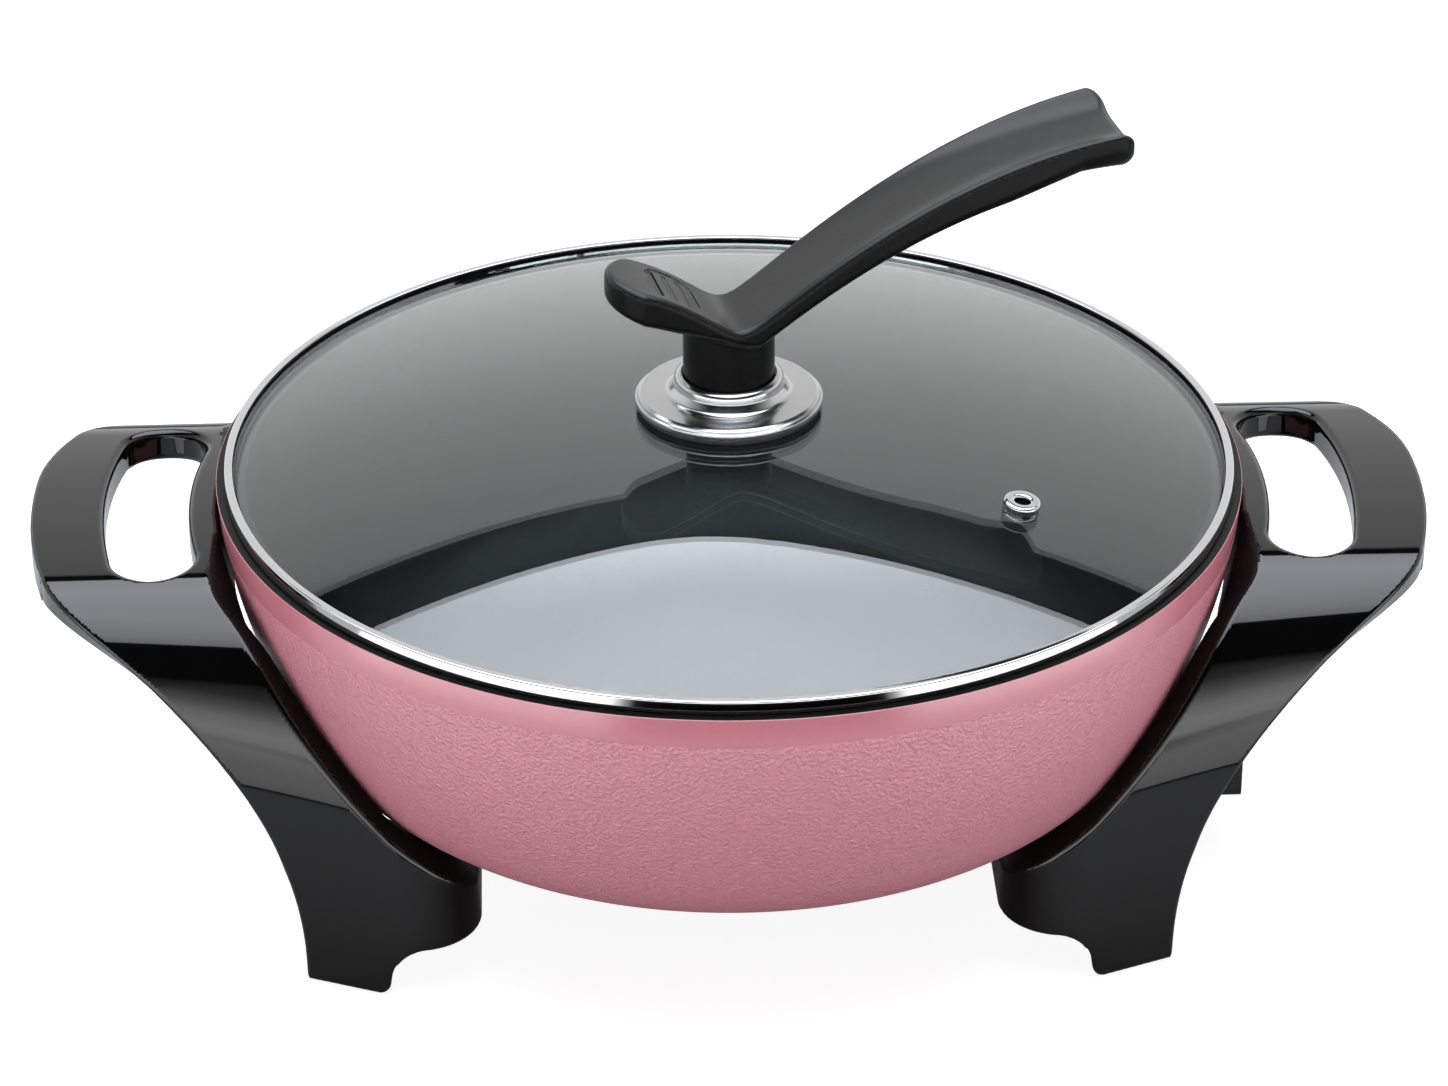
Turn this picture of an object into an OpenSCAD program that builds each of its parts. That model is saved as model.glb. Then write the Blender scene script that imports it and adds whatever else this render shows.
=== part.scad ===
// Electric skillet: a round cast pan carried by two moulded loop-and-leg brackets, with a glass lid.
// The floor is z = 0, the pan axis is the z axis, and the brackets lie along x.

/* [Pan] */
// Outer radius of the lip
pan_r = 161; // [157:1:165]
// Height of the lip above the floor
pan_h = 133; // [129:1:137]
// Height of the pan's flat underside above the floor
base_z = 36.3; // [35.5:0.1:38]
// Radius of the flat part of the underside
flat_r = 98; // [97:0.5:99]
// Radius of the curve between underside and wall
heel_r = 48; // [46:0.5:50]
// Wall thickness
wall_t = 4; // [3.5:0.25:4.5]
// Floor thickness
floor_t = 6; // [5:0.25:7]

/* [Lid] */
// Rise of the glass dome above the top of its steel band
dome_rise = 17.2; // [15:0.2:19]
// Thickness of the glass
glass_t = 4; // [3:0.25:4.5]
// Height of the steel band
band_h = 7.3; // [7.3:0.1:8]
// Radius of the polished plate under the handle
plate_r = 29.4; // [28:0.2:32]
// Distance of the steam vent from the axis
vent_dist = 104.3; // [90:0.1:120]
// Radius of the steam vent's hole
vent_bore_r = 2.4; // [2.2:0.1:2.8]

/* [Lid handle] */
// Radius of the neck
neck_r = 14.3; // [13:0.1:14.5]
// Length of the long arm from the axis
arm_len = 123; // [115:1:131]
// Length of the thumb rest from the axis
thumb_len = 39; // [35:1:43]
// Turn of the handle about the axis
handle_turn = 11.5; // [0:0.5:40]

/* [Brackets] */
// Reach of the carrying loop beyond the lip
grip_reach = 58; // [53:1:63]
// Height of the loop's top
grip_z = 124.3; // [122:0.5:125]
// Half length of the finger hole
hole_half = 49; // [44:1:50]
// Thickness of the loop
grip_t = 11; // [10:0.5:13]
// Thickness of the legs
leg_t = 5; // [4.5:0.25:6]
// Gap between brackets and pan
pan_gap = 1.2; // [1:0.1:2]
// Further gap between pan and bracket away from the loop
edge_ease = 3; // [0:0.5:4]

/* [Power inlet] */
// Distance between the two terminal pins
pin_pitch = 24; // [22:0.5:25]
// Radius of the terminal pins
pin_r = 2.4; // [2.2:0.1:2.5]
// Radius of the probe socket
probe_r = 3.6; // [3.2:0.1:3.8]

/* [Hidden] */
$fn = 96;

// Colours
pink = "#a8505c";
black = "#1c1c1e";
steel = "#c9c9cc";
ceramic = "#e8e4da";
clear = [0.75, 0.8, 0.82, 0.4];

// Clearances
snug = 0.1;
run = 0.3;
lid_play = 0.4;

// Arc from angle a to angle b about c, as steps + 1 points
function arc(c, r, a, b, steps) =
    [for (i = [0 : steps]) c + r * [cos(a + (b - a) * i / steps), sin(a + (b - a) * i / steps)]];
// Arc that leaves p at slope a and ends at q, as steps + 1 points
function swing(p, q, a, steps) =
    let (b = 2 * atan2(q[1] - p[1], q[0] - p[0]) - a,
         r = norm(q - p) / (2 * sin((b - a) / 2)),
         c = p + r * [-sin(a), cos(a)])
    arc(c, r, a - 90, b - 90, steps);
function mix(a, b, t) = a + (b - a) * t;
// Larger of two values, rounded over by k where they cross
function soft_max(a, b, k) = (a + b) / 2 + sqrt(pow((a - b) / 2, 2) + k * k);
// Solid through a row of equal rings of points, each turning to the left as seen from the next ring
module loft(rings) {
    m = len(rings[0]);
    last = len(rings) - 1;
    sides = [for (k = [0 : last - 1], i = [0 : m - 1])
        let (a = k * m + i, b = k * m + (i + 1) % m) each [[a, a + m, b], [b, a + m, b + m]]];
    ends = [for (i = [0 : m / 2 - 2], k = [0, last])
        let (a = k * m + i, b = k * m + m - 1 - i)
        each k == 0 ? [[a, a + 1, b], [a + 1, b - 1, b]] : [[a, b, a + 1], [a + 1, b, b - 1]]];
    polyhedron([for (ring = rings) each ring], concat(sides, ends), convexity = 8);
}

// Pan outline: underside, heel arc, wall arc, upright band below the lip
heel_turn = 63;
lip_band_h = 10;
lip_draft = 1;
function pan_outer(grow) =
    let (r = heel_r + grow,
         c = [flat_r, base_z + heel_r],
         heel = arc(c, r, -90, heel_turn - 90, 10),
         p = heel[10],
         q = [pan_r - lip_draft + grow, pan_h - lip_band_h])
    concat(heel, [for (i = [1 : 10]) swing(p, q, heel_turn, 10)[i]]);

// Lid seat in the lip
lip_w = 3.6;
seat_w = 5;
seat_drop = 4;
lid_r = pan_r - lip_w - lid_play;
seat_z = pan_h - seat_drop;
seat_r = lid_r + lid_play - seat_w;
inner_heel_r = heel_r - wall_t;
floor_z = base_z + floor_t;
function pan_inner() =
    let (heel = arc([flat_r, floor_z + inner_heel_r], inner_heel_r, -90, heel_turn - 90, 10),
         p = heel[10],
         q = [seat_r, seat_z])
    concat(heel, [for (i = [1 : 10]) swing(p, q, heel_turn, 10)[i]]);

// Bracket face seen from the side: level top, shoulder arc, haunch arc, upright leg
grip_r = pan_r + grip_reach;
top_half = 50;
top_tilt = 5;
shoulder_r = 40;
shoulder_tilt = 60;
haunch_r = 88;
foot_turn = 0.42;
foot_x = flat_r + 25;
foot_out_x = flat_r + 37;
sweep_power = 2.37;
turn_power = 1.25;
top_rows = 5;
shoulder_rows = 9;
haunch_rows = 7;
leg_rows = 7;
shoulder_z = grip_z - top_half * tan(top_tilt) / 2;
haunch_z = shoulder_z - shoulder_r * (cos(top_tilt) - cos(shoulder_tilt));
haunch_y = top_half + shoulder_r * (sin(shoulder_tilt) - sin(top_tilt));
leg_z = haunch_z - haunch_r * cos(shoulder_tilt);
leg_y = haunch_y + haunch_r * (1 - sin(shoulder_tilt));
// One row of the face is [y, z, tilt]
function face_rows() = concat(
    [for (i = [0 : top_rows - 1]) let (t = i / top_rows)
        [top_half * t, grip_z - top_half * tan(top_tilt) / 2 * t * t, top_tilt * t]],
    [for (i = [0 : shoulder_rows - 1]) let (a = mix(top_tilt, shoulder_tilt, i / shoulder_rows))
        [top_half + shoulder_r * (sin(a) - sin(top_tilt)),
         shoulder_z - shoulder_r * (cos(top_tilt) - cos(a)), a]],
    [for (i = [0 : haunch_rows - 1]) let (a = mix(shoulder_tilt, 90, i / haunch_rows))
        [haunch_y + haunch_r * (sin(a) - sin(shoulder_tilt)),
         haunch_z - haunch_r * (cos(shoulder_tilt) - cos(a)), a]],
    [for (i = [0 : leg_rows]) [leg_y, leg_z * (1 - i / leg_rows), 90]]);

// The face turns outwards towards the foot, by this much per millimetre along x
function face_turn(z) = foot_turn * pow(max(0, 1 - z / shoulder_z), turn_power);
// Radius of the pan plus its gap at height z
function clear_r(z) =
    let (c = [flat_r, base_z + heel_r],
         r = heel_r + pan_gap,
         p = c + r * [sin(heel_turn), -cos(heel_turn)],
         q = [pan_r - lip_draft + pan_gap, pan_h - lip_band_h],
         b = 2 * atan2(q[1] - p[1], q[0] - p[0]) - heel_turn,
         w = norm(q - p) / (2 * sin((b - heel_turn) / 2)),
         k = p + w * [-sin(heel_turn), cos(heel_turn)])
    z > q[1] ? pan_r + pan_gap
    : z > p[1] ? k[0] + sign(w) * sqrt(w * w - pow(z - k[1], 2))
    : flat_r + sqrt(max(0, r * r - pow(z - c[1], 2)));

// Inner end of the flat leg face, where the rounded corner starts
corner_r = 20;
corner_x = flat_r + 9;
foot_in_x = corner_x + 2.5;
sill_z = 16.5;
function foot_edge(z) = z < sill_z ? mix(foot_in_x, corner_x, z / sill_z) : corner_x;
// x of the face's inner edge at depth y and height z
function inner_x(y, z) =
    let (g = face_turn(z),
         a = y + g * foot_x,
         r = clear_r(z) + edge_ease * pow(min(y / top_half, 1), 2),
         d = a * a * g * g - (1 + g * g) * (a * a - r * r))
    max(foot_edge(z), d < 0 ? 0 : (a * g + sqrt(d)) / (1 + g * g));
shoulder_x = sqrt(grip_r * grip_r - top_half * top_half);
function outer_x(y, z) = y < top_half ? sqrt(grip_r * grip_r - y * y)
    : foot_out_x + (shoulder_x - foot_out_x) * pow(z / shoulder_z, sweep_power);

// Wall that carries on from the leg face, round a corner and back under the pan
web_lap = 6;
web_reach = 86;
web_inset = 0.4;
web_top = base_z + heel_r;
web_rows = 8;
corner_steps = 8;
fillet_r = 10;
fillet_rows = 6;
fillet_lap = 1.5;
// Depth of the leg face below the pan, at the pivot of its turn
function face_y(z) = z < leg_z ? leg_y
    : let (a = acos(cos(shoulder_tilt) - (haunch_z - z) / haunch_r))
        haunch_y + haunch_r * (sin(a) - sin(shoulder_tilt));
function corner_len(z) = corner_r * (90 + atan(face_turn(z))) * PI / 180;
// Point of the wall at height z, distance u past the leg face and depth d behind its surface
function corner_point(z, u, d) =
    let (turn = atan(face_turn(z)),
         full = corner_len(z),
         knee = [corner_x, -face_y(z) - face_turn(z) * (foot_x - corner_x)],
         c = knee + corner_r * [-sin(turn), cos(turn)],
         a = turn - 90 - min(max(u, 0), full) / corner_r * 180 / PI,
         p = c + (corner_r - d) * [cos(a), sin(a)] - min(u, 0) * [cos(turn), sin(turn)]
             + [0, max(u - full, 0)])
    [p[0], p[1], z];
function web_ring(z, stops, inset) = concat(
    [for (u = stops) corner_point(z, u, leg_t - inset)],
    [for (k = [len(stops) - 1 : -1 : 0]) corner_point(z, stops[k], inset)]);

// Bracket fixing: shelf, boss, screw and washer
boss_x = flat_r - 3;
boss_y = 50;
boss_r = 7;
shelf_z = 22;
shelf_t = 5;
shelf_x = [corner_point(shelf_z, web_reach, leg_t / 2)[0], boss_x + 11];
shelf_y = [30, 72];
bolt_r = 2.4;
bolt_hole_r = bolt_r + run;
bolt_head_r = 4.6;
bolt_head_h = 3.2;
bolt_len = base_z - shelf_z - 1;
washer_r = 6;
washer_t = 1;

// Power inlet
element_r = 66;
tube_r = 3.6;
tube_z = base_z - tube_r - snug;
tail_r = 3.2;
rib_t = 1.6;
rib_h = 5;
block_x = [element_r + 4, flat_r + 14];
block_half = 22;
block_drop = 12;
tail_x = block_x[1] + 6;
bush_len = 6;
pin_neck_r = pin_r - 0.4;
sleeve_t = 1;
probe_z = tube_z - 2;
sleeve_x = [block_x[0] + 2, block_x[1] + 3];
shroud_x = [block_x[1] + snug, pan_r + 3];
pin_x = tail_x + bush_len + run;
pin_end = shroud_x[1] - 12;
shroud_half = 25;
shroud_z = [19.5, 46];
shroud_t = 3;
shroud_corner = 3;
back_t = 3.5;
fix_y = 18.5;
fix_z = tube_z - 5;
fix_r = 1.4;
fix_head_r = 2.6;
fix_head_h = 2;
fix_len = 9;
hold_x = block_x[0] + 8;
hold_y = 18.5;
hold_r = 1.6;
hold_head_r = 3;
hold_head_h = 2;
hold_depth = 4;

// Lid stack on the axis
band_z = seat_z + 0.2;
band_top = band_z + band_h;
band_t = 0.7;
band_lip = 6;
band_hem = 2.6;
band_round = 1.6;
glass_r = lid_r - 1.5;
dome_top = band_top + dome_rise;
touch_r = lid_r - band_hem;
touch_drop = dome_rise + band_t + 0.2;
dome_r = (touch_r * touch_r + touch_drop * touch_drop) / (2 * touch_drop);
function dome_z(r) = dome_top - dome_r + sqrt(dome_r * dome_r - r * r);
glass_hole_r = 3.2;
gasket_t = 1.35;
gasket_r = [plate_r - 5.4, plate_r - 0.9];
gasket_z = dome_z(gasket_r[0]) + 0.1;
plate_z = gasket_z + gasket_t + snug;
plate_t = 1.2;
hub_h = 9.6;
hub_r = neck_r + 0.6;
hub_floor_z = plate_z + 6.2;
neck_z = hub_floor_z + snug;
screw_r = 2.4;
screw_head_r = 4.8;
screw_head_h = 2.7;
screw_top = neck_z + 16;
inner_gasket_r = 11;
lid_washer_r = 9;
seal_t = 1.2;
inner_gasket_z = dome_z(inner_gasket_r) - glass_t - seal_t - snug;
lid_washer_z = inner_gasket_z - seal_t - snug;

// Steam vent
vent_turn = -34;
vent_tilt = asin(vent_dist / dome_r);
vent_seal_t = 0.8;
vent_wall = 1.6;
vent_flange_r = vent_bore_r + 3.3;
vent_head = 1.8;
vent_foot = 0.8;

// Lid handle, along its own length s: a thumb rest and an arm that meet in a V over the neck
v_z = neck_z + 19.4;
function thumb_top(s) = v_z + 1.9 - 1.0225 * s - 0.01153 * s * s;
function thumb_low(s) = v_z - 0.6 - 0.3385 * s;
function arm_top(s) = v_z + 1.6 + 0.8639 * s - 0.00295 * s * s;
function arm_low(s) = v_z - 7.4 + 0.8082 * s - 0.00293 * s * s;
top_round = 5;
low_round = 0.8;
function handle_top(s) = soft_max(thumb_top(s), arm_top(s), top_round) - top_round / 2;
function handle_low(s) = soft_max(thumb_low(s), arm_low(s), low_round) - low_round / 2;
function handle_mid(s) = (handle_top(s) + handle_low(s)) / 2;
tip_nose = 4;
thumb_nose = 5;
thumb_bow = 11;
bow_share = 0.85;
thumb_w = 30;
tip_w = 40.5;
trough = 7;
rim_share = 0.8;
// Squared distance into the rounded part of either end, from 0 at its start to 1 at the very end
function end_part(s, thumb) = s > arm_len - tip_nose ? pow((s - arm_len + tip_nose) / tip_nose, 2)
    : s < thumb - thumb_len ? pow((thumb - thumb_len - s) / thumb, 2) : 0;
function handle_half(s) = s > 0 ? mix(thumb_w, tip_w, pow(s / arm_len, 1.5)) / 2
    : thumb_w / 2 * sqrt(1 - bow_share * end_part(s, thumb_bow));
function handle_dip(s) = s > 0 ? trough * pow(s / arm_len, 2) : 0;
// Places across the handle as shares of its half width, and the rounded slab's height there
section_stops = [-1, -0.97, -0.85, -0.6, -0.3, 0, 0.3, 0.6, 0.85, 0.97, 1];
squareness = 8;
function slab(x) = pow(1 - pow(abs(x), squareness), 1 / squareness);
// One cross-section of the handle: a rounded slab hollowed by the dip
function handle_section(s) =
    let (h = handle_half(s),
         last = len(section_stops) - 1,
         half = (handle_top(s) - handle_low(s)) / 2 * sqrt(max(0.02, 1 - end_part(s, thumb_nose))))
    [for (side = [1, -1], k = side > 0 ? [last : -1 : 0] : [1 : last - 1])
        let (x = section_stops[k])
        [s, h * x, handle_mid(s) + side * half * slab(x) - handle_dip(s) * (rim_share - pow(x, 4))]];
// Stations along the handle, closer together towards both ends
handle_steps = 44;
end_crowding = 0.75;
function station(t) = mix(-thumb_len, arm_len, mix(t, (1 - cos(180 * t)) / 2, end_crowding));
neck_reach = neck_r + 2;
neck_dip_s = 3;

module pan_body() {
    color(pink)
    difference() {
        union() {
            rotate_extrude()
                polygon(concat([[0, base_z]], pan_outer(0), [[pan_r, pan_h - 0.8], [pan_r - 0.8, pan_h],
                    [lid_r + lid_play, pan_h], [lid_r + lid_play, seat_z]],
                    [for (i = [len(pan_inner()) - 1 : -1 : 0]) pan_inner()[i]], [[0, floor_z]]));
            for (x = [-boss_x, boss_x], y = [-boss_y, boss_y])
                translate([x, y, shelf_z + shelf_t])
                    cylinder(r = boss_r, h = base_z - shelf_z - shelf_t + 3);
            for (r = [element_r - tube_r - rib_t - snug, element_r + tube_r + snug])
                difference() {
                    translate([0, 0, base_z - rib_h])
                        rotate_extrude()
                            translate([r, 0])
                                square([rib_t, rib_h + 1]);
                    translate([0, -block_half - run, base_z - rib_h - 1])
                        cube([pan_r, 2 * block_half + 2 * run, rib_h + 1]);
                }
        }
        for (x = [-boss_x, boss_x], y = [-boss_y, boss_y])
            translate([x, y, 0])
                cylinder(r = bolt_r + snug, h = base_z);
        at_hold(base_z - 1)
            cylinder(r = hold_r + snug, h = hold_depth + 1);
    }
}

module at_hold(z) {
    for (y = [-hold_y, hold_y])
        translate([hold_x, y, z])
            children();
}

// Block under the pan that holds the element's tails in two grooves and the probe sleeve in a bore
module terminal_block() {
    groove_r = tail_r + snug;
    low = base_z - block_drop;
    color(steel)
    difference() {
        translate([block_x[0], -block_half, low])
            cube([block_x[1] - block_x[0], 2 * block_half, block_drop + 3]);
        pan_space(snug);
        at_pins(element_r) {
            cylinder(r = groove_r, h = pan_r);
            translate([-block_drop, -groove_r, 0])
                cube([block_drop, 2 * groove_r, pan_r]);
        }
        translate([sleeve_x[0] - snug, 0, probe_z])
            rotate([0, 90, 0])
                cylinder(r = probe_r + sleeve_t + snug, h = pan_r);
        for (y = [-fix_y, fix_y])
            translate([block_x[1] - fix_len, y, fix_z])
                rotate([0, 90, 0])
                    cylinder(r = fix_r + snug, h = pan_r);
        at_hold(low - 1)
            cylinder(r = hold_r + snug, h = block_drop + 2);
    }
}

module block_screws() {
    color(steel)
    at_hold(base_z - block_drop - snug) {
        translate([0, 0, -hold_head_h])
            cylinder(r = hold_head_r, h = hold_head_h);
        translate([0, 0, -1])
            cylinder(r = hold_r, h = block_drop + hold_depth);
    }
}

module heating_element() {
    lead = asin(pin_pitch / 2 / element_r);
    start = element_r * cos(lead) - tube_r;
    color(steel) {
        translate([0, 0, tube_z])
            rotate([0, 0, lead])
                rotate_extrude(angle = 360 - 2 * lead)
                    translate([element_r, 0])
                        circle(r = tube_r);
        at_pins(start)
            cylinder(r = tail_r, h = tail_x - start);
    }
}

module at_pins(x) {
    for (y = [-pin_pitch / 2, pin_pitch / 2])
        translate([x, y, tube_z])
            rotate([0, 90, 0])
                children();
}

module terminal_insulators() {
    color(ceramic)
    at_pins(tail_x + snug)
        difference() {
            cylinder(r = tail_r, h = bush_len);
            translate([0, 0, -1])
                cylinder(r = pin_neck_r + snug, h = bush_len + 2);
        }
}

module terminal_pins() {
    shank = pin_end - pin_r / 2 - pin_x;
    color(steel) {
        at_pins(tail_x + snug)
            cylinder(r = pin_neck_r, h = pin_x - tail_x);
        at_pins(pin_x)
            cylinder(r = pin_r, h = shank);
        at_pins(pin_x + shank)
            cylinder(r1 = pin_r, r2 = pin_r / 2, h = pin_r / 2);
    }
}

module probe_sleeve() {
    color(steel)
    translate([sleeve_x[0], 0, probe_z])
        rotate([0, 90, 0])
            difference() {
                cylinder(r = probe_r + sleeve_t, h = sleeve_x[1] - sleeve_x[0]);
                translate([0, 0, sleeve_t])
                    cylinder(r = probe_r, h = sleeve_x[1]);
            }
}

// Rounded box outline in y and z, moved in by inset
module shroud_outline(inset) {
    y = shroud_half - inset;
    r = shroud_corner;
    low = shroud_z[0] + inset + r;
    high = shroud_z[1] - inset - r;
    polygon(concat(arc([y - r, low], r, -90, 0, 6), arc([y - r, high], r, 0, 90, 6),
                   arc([r - y, high], r, 90, 180, 6), arc([r - y, low], r, 180, 270, 6)));
}

module along_x(x0, x1) {
    translate([x0, 0, 0])
        rotate([90, 0, 90])
            linear_extrude(x1 - x0)
                children();
}

// Space kept clear round the pan
module pan_space(gap) {
    rotate_extrude()
        polygon(concat([[0, base_z - gap]], pan_outer(gap), [[pan_r + gap, pan_h], [0, pan_h]]));
}

module inlet_shroud() {
    color(black)
    difference() {
        along_x(shroud_x[0], shroud_x[1])
            shroud_outline(0);
        along_x(shroud_x[0] + back_t, shroud_x[1] + 1)
            shroud_outline(shroud_t);
        at_pins(shroud_x[0] - 1)
            cylinder(r = tail_r + run, h = back_t + 2);
        translate([shroud_x[0] - 1, 0, probe_z])
            rotate([0, 90, 0])
                cylinder(r = probe_r + sleeve_t + run, h = back_t + 2);
        for (y = [-fix_y, fix_y])
            translate([shroud_x[0] - 1, y, fix_z])
                rotate([0, 90, 0])
                    cylinder(r = fix_r + run, h = back_t + 2);
        pan_space(pan_gap);
    }
}

module inlet_screws() {
    color(steel)
    for (y = [-fix_y, fix_y])
        translate([shroud_x[0] + back_t + snug, y, fix_z])
            rotate([0, 90, 0]) {
                cylinder(r = fix_head_r, h = fix_head_h);
                translate([0, 0, -fix_len])
                    cylinder(r = fix_r, h = fix_len + 1);
            }
}

// Sheet that runs from one foot over the loop to the other foot, as a lattice of points
face_steps = 7;
function sheet_thickness(a) = mix(grip_t, leg_t, max(0, a - top_tilt) / (90 - top_tilt));
function sheet_point(row, side, depth, i) =
    let (t = depth * sheet_thickness(row[2]),
         y = row[0] - t * sin(row[2]),
         z = row[1] - t * cos(row[2]),
         x = mix(inner_x(y, z), outer_x(row[0], row[1]), i / face_steps))
    [x, side * (y + face_turn(z) * (foot_x - x)), z];
function sheet_ring(row, side) = concat(
    [for (i = [0 : face_steps]) sheet_point(row, side, 1, i)],
    [for (i = [face_steps : -1 : 0]) sheet_point(row, side, 0, i)]);
module bracket_sheet() {
    rows = face_rows();
    last = len(rows) - 1;
    loft(concat(
        [for (k = [last : -1 : 1]) sheet_ring(rows[k], 1)],
        [for (k = [0 : last]) sheet_ring(rows[k], -1)]));
}

// Finger hole: a ring sector with rounded corners
hole_in_r = pan_r + 9;
hole_out_r = grip_r - 23;
hole_round = 13;
module finger_hole() {
    mid = (hole_in_r + hole_out_r) / 2;
    half = (hole_out_r - hole_in_r) / 2;
    turn = asin((hole_half - hole_round) / mid);
    translate([0, 0, haunch_z])
        union() {
            rotate([0, 0, -turn])
                rotate_extrude(angle = 2 * turn)
                    translate([hole_in_r, 0])
                        square([2 * half, grip_z]);
            for (a = [-turn, turn])
                rotate([0, 0, a])
                    translate([mid, 0, 0])
                        cylinder(r = half, h = grip_z);
        }
}

module bracket_web() {
    difference() {
        loft([for (k = [0 : web_rows])
            let (z = mix(sill_z, web_top, k / web_rows))
            web_ring(z, concat([-web_lap], [for (i = [0 : corner_steps]) corner_len(z) * i / corner_steps],
                               [web_reach]), web_inset)]);
        pan_space(pan_gap + edge_ease + web_inset);
    }
}

// Concave curve that leads from the foot up to the lower edge of the wall
module bracket_fillet() {
    low = sill_z - fillet_r + web_inset;
    loft([for (k = [1 : fillet_rows + 1])
        let (h = fillet_r * sin(90 * min(k / fillet_rows, 1)),
             z = low + h + (k > fillet_rows ? fillet_lap : 0),
             reach = fillet_r - sqrt(max(0, fillet_r * fillet_r - h * h)))
        web_ring(z, [-web_lap, 0, reach / 2, reach], 2 * web_inset)]);
}

module bracket() {
    difference() {
        union() {
            bracket_sheet();
            for (side = [0, 1])
                mirror([0, side, 0]) {
                    bracket_web();
                    bracket_fillet();
                    translate([shelf_x[0], -shelf_y[1], shelf_z])
                        cube([shelf_x[1] - shelf_x[0], shelf_y[1] - shelf_y[0], shelf_t]);
                }
        }
        finger_hole();
        for (y = [-boss_y, boss_y])
            translate([boss_x, y, shelf_z - 1])
                cylinder(r = bolt_hole_r, h = shelf_t + 2);
    }
}

module bracket_bolts() {
    for (y = [-boss_y, boss_y])
        translate([boss_x, y, shelf_z - washer_t - snug]) {
            translate([0, 0, -bolt_head_h])
                cylinder(r = bolt_head_r, h = bolt_head_h);
            translate([0, 0, -1])
                cylinder(r = bolt_r, h = bolt_len);
        }
}

module bracket_washers() {
    for (y = [-boss_y, boss_y])
        translate([boss_x, y, shelf_z - washer_t])
            difference() {
                cylinder(r = washer_r, h = washer_t);
                translate([0, 0, -1])
                    cylinder(r = bolt_hole_r, h = washer_t + 2);
            }
}

module right_bracket() { color(black) bracket(); }
module left_bracket() { color(black) mirror([1, 0, 0]) bracket(); }
module right_bracket_screws() { color(steel) bracket_bolts(); }
module left_bracket_screws() { color(steel) mirror([1, 0, 0]) bracket_bolts(); }
module right_bracket_washers() { color(steel) bracket_washers(); }
module left_bracket_washers() { color(steel) mirror([1, 0, 0]) bracket_washers(); }

module at_vent() {
    rotate([0, 0, vent_turn])
        translate([vent_dist, 0, dome_z(vent_dist)])
            rotate([0, vent_tilt, 0])
                children();
}

dome_steps = 16;
module lid_glass() {
    dome_c = [0, dome_top - dome_r];
    edge = asin(glass_r / dome_r);
    low_edge = asin(glass_r / (dome_r - glass_t));
    color(clear)
    difference() {
        rotate_extrude()
            polygon(concat(arc(dome_c, dome_r, 90, 90 - edge, dome_steps),
                           arc(dome_c, dome_r - glass_t, 90 - low_edge, 90, dome_steps)));
        translate([0, 0, band_z])
            cylinder(r = glass_hole_r, h = dome_top);
        at_vent()
            translate([0, 0, -2 * glass_t])
                cylinder(r = vent_bore_r + vent_wall + run, h = 4 * glass_t);
    }
}

module lid_band() {
    r = lid_r - band_lip;
    hem_r = lid_r - band_hem;
    color(steel)
    rotate_extrude()
        polygon(concat([[r, band_z]], arc([lid_r - band_round, band_z + band_round], band_round, -90, 0, 5),
            arc([lid_r - band_round, band_top - band_round], band_round, 0, 90, 5), [[hem_r, band_top],
            [hem_r, band_top - band_t], [lid_r - band_t, band_top - band_t], [lid_r - band_t, band_z + band_t],
            [r, band_z + band_t]]));
}

module vent_eyelet() {
    barrel_r = vent_bore_r + vent_wall;
    foot = -glass_t - vent_foot - run;
    head = vent_seal_t + snug;
    color(steel)
    at_vent()
        rotate_extrude()
            polygon(concat([[vent_bore_r, foot], [barrel_r + vent_foot, foot],
                [barrel_r + vent_foot, foot + vent_foot], [barrel_r, foot + vent_foot],
                [barrel_r, head], [vent_flange_r, head]],
                arc([vent_flange_r - vent_head / 2, head + vent_head / 2], vent_head / 2, 0, 90, 5),
                [[vent_bore_r + vent_head / 2, head + vent_head]],
                arc([vent_bore_r + vent_head / 2, head + vent_head / 2], vent_head / 2, 90, 180, 5)));
}

module vent_seal() {
    color(black)
    at_vent()
        difference() {
            translate([0, 0, snug])
                cylinder(r = vent_flange_r - 0.2, h = vent_seal_t - snug);
            translate([0, 0, -1])
                cylinder(r = vent_bore_r + vent_wall + snug, h = vent_seal_t + 2);
        }
}

module knob_plate() {
    foot_w = 2.6;
    flange_z = plate_z + 3.2;
    bead_r = 2.3;
    bead = [hub_r, plate_z + hub_h - bead_r];
    flare = arc([hub_r + 6.6, flange_z + 3.4], 3.4, 200, 270, 6);
    color(steel)
    rotate_extrude()
        polygon(concat([[plate_r - foot_w, plate_z], [plate_r - 0.4, plate_z], [plate_r, plate_z + 0.4]],
            arc([plate_r - 1.4, flange_z - 1.6], 1.4, 0, 60, 4), [[plate_r - 2, flange_z]],
            [for (k = [6 : -1 : 0]) flare[k]], arc(bead, bead_r, 0, 80, 5),
            [[hub_r, plate_z + hub_h - 0.4], [hub_r, hub_floor_z], [glass_hole_r, hub_floor_z],
            [glass_hole_r, hub_floor_z - plate_t], [hub_r + 1.2, hub_floor_z - plate_t],
            [hub_r + 4.4, flange_z - plate_t], [plate_r - foot_w, flange_z - plate_t]]));
}

module plate_gasket() {
    color(black)
    translate([0, 0, gasket_z])
        difference() {
            cylinder(r = gasket_r[1], h = gasket_t);
            translate([0, 0, -1])
                cylinder(r = gasket_r[0], h = gasket_t + 2);
        }
}

module handle_body() {
    loft([for (k = [0 : handle_steps]) handle_section(station(k / handle_steps))]);
}

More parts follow.
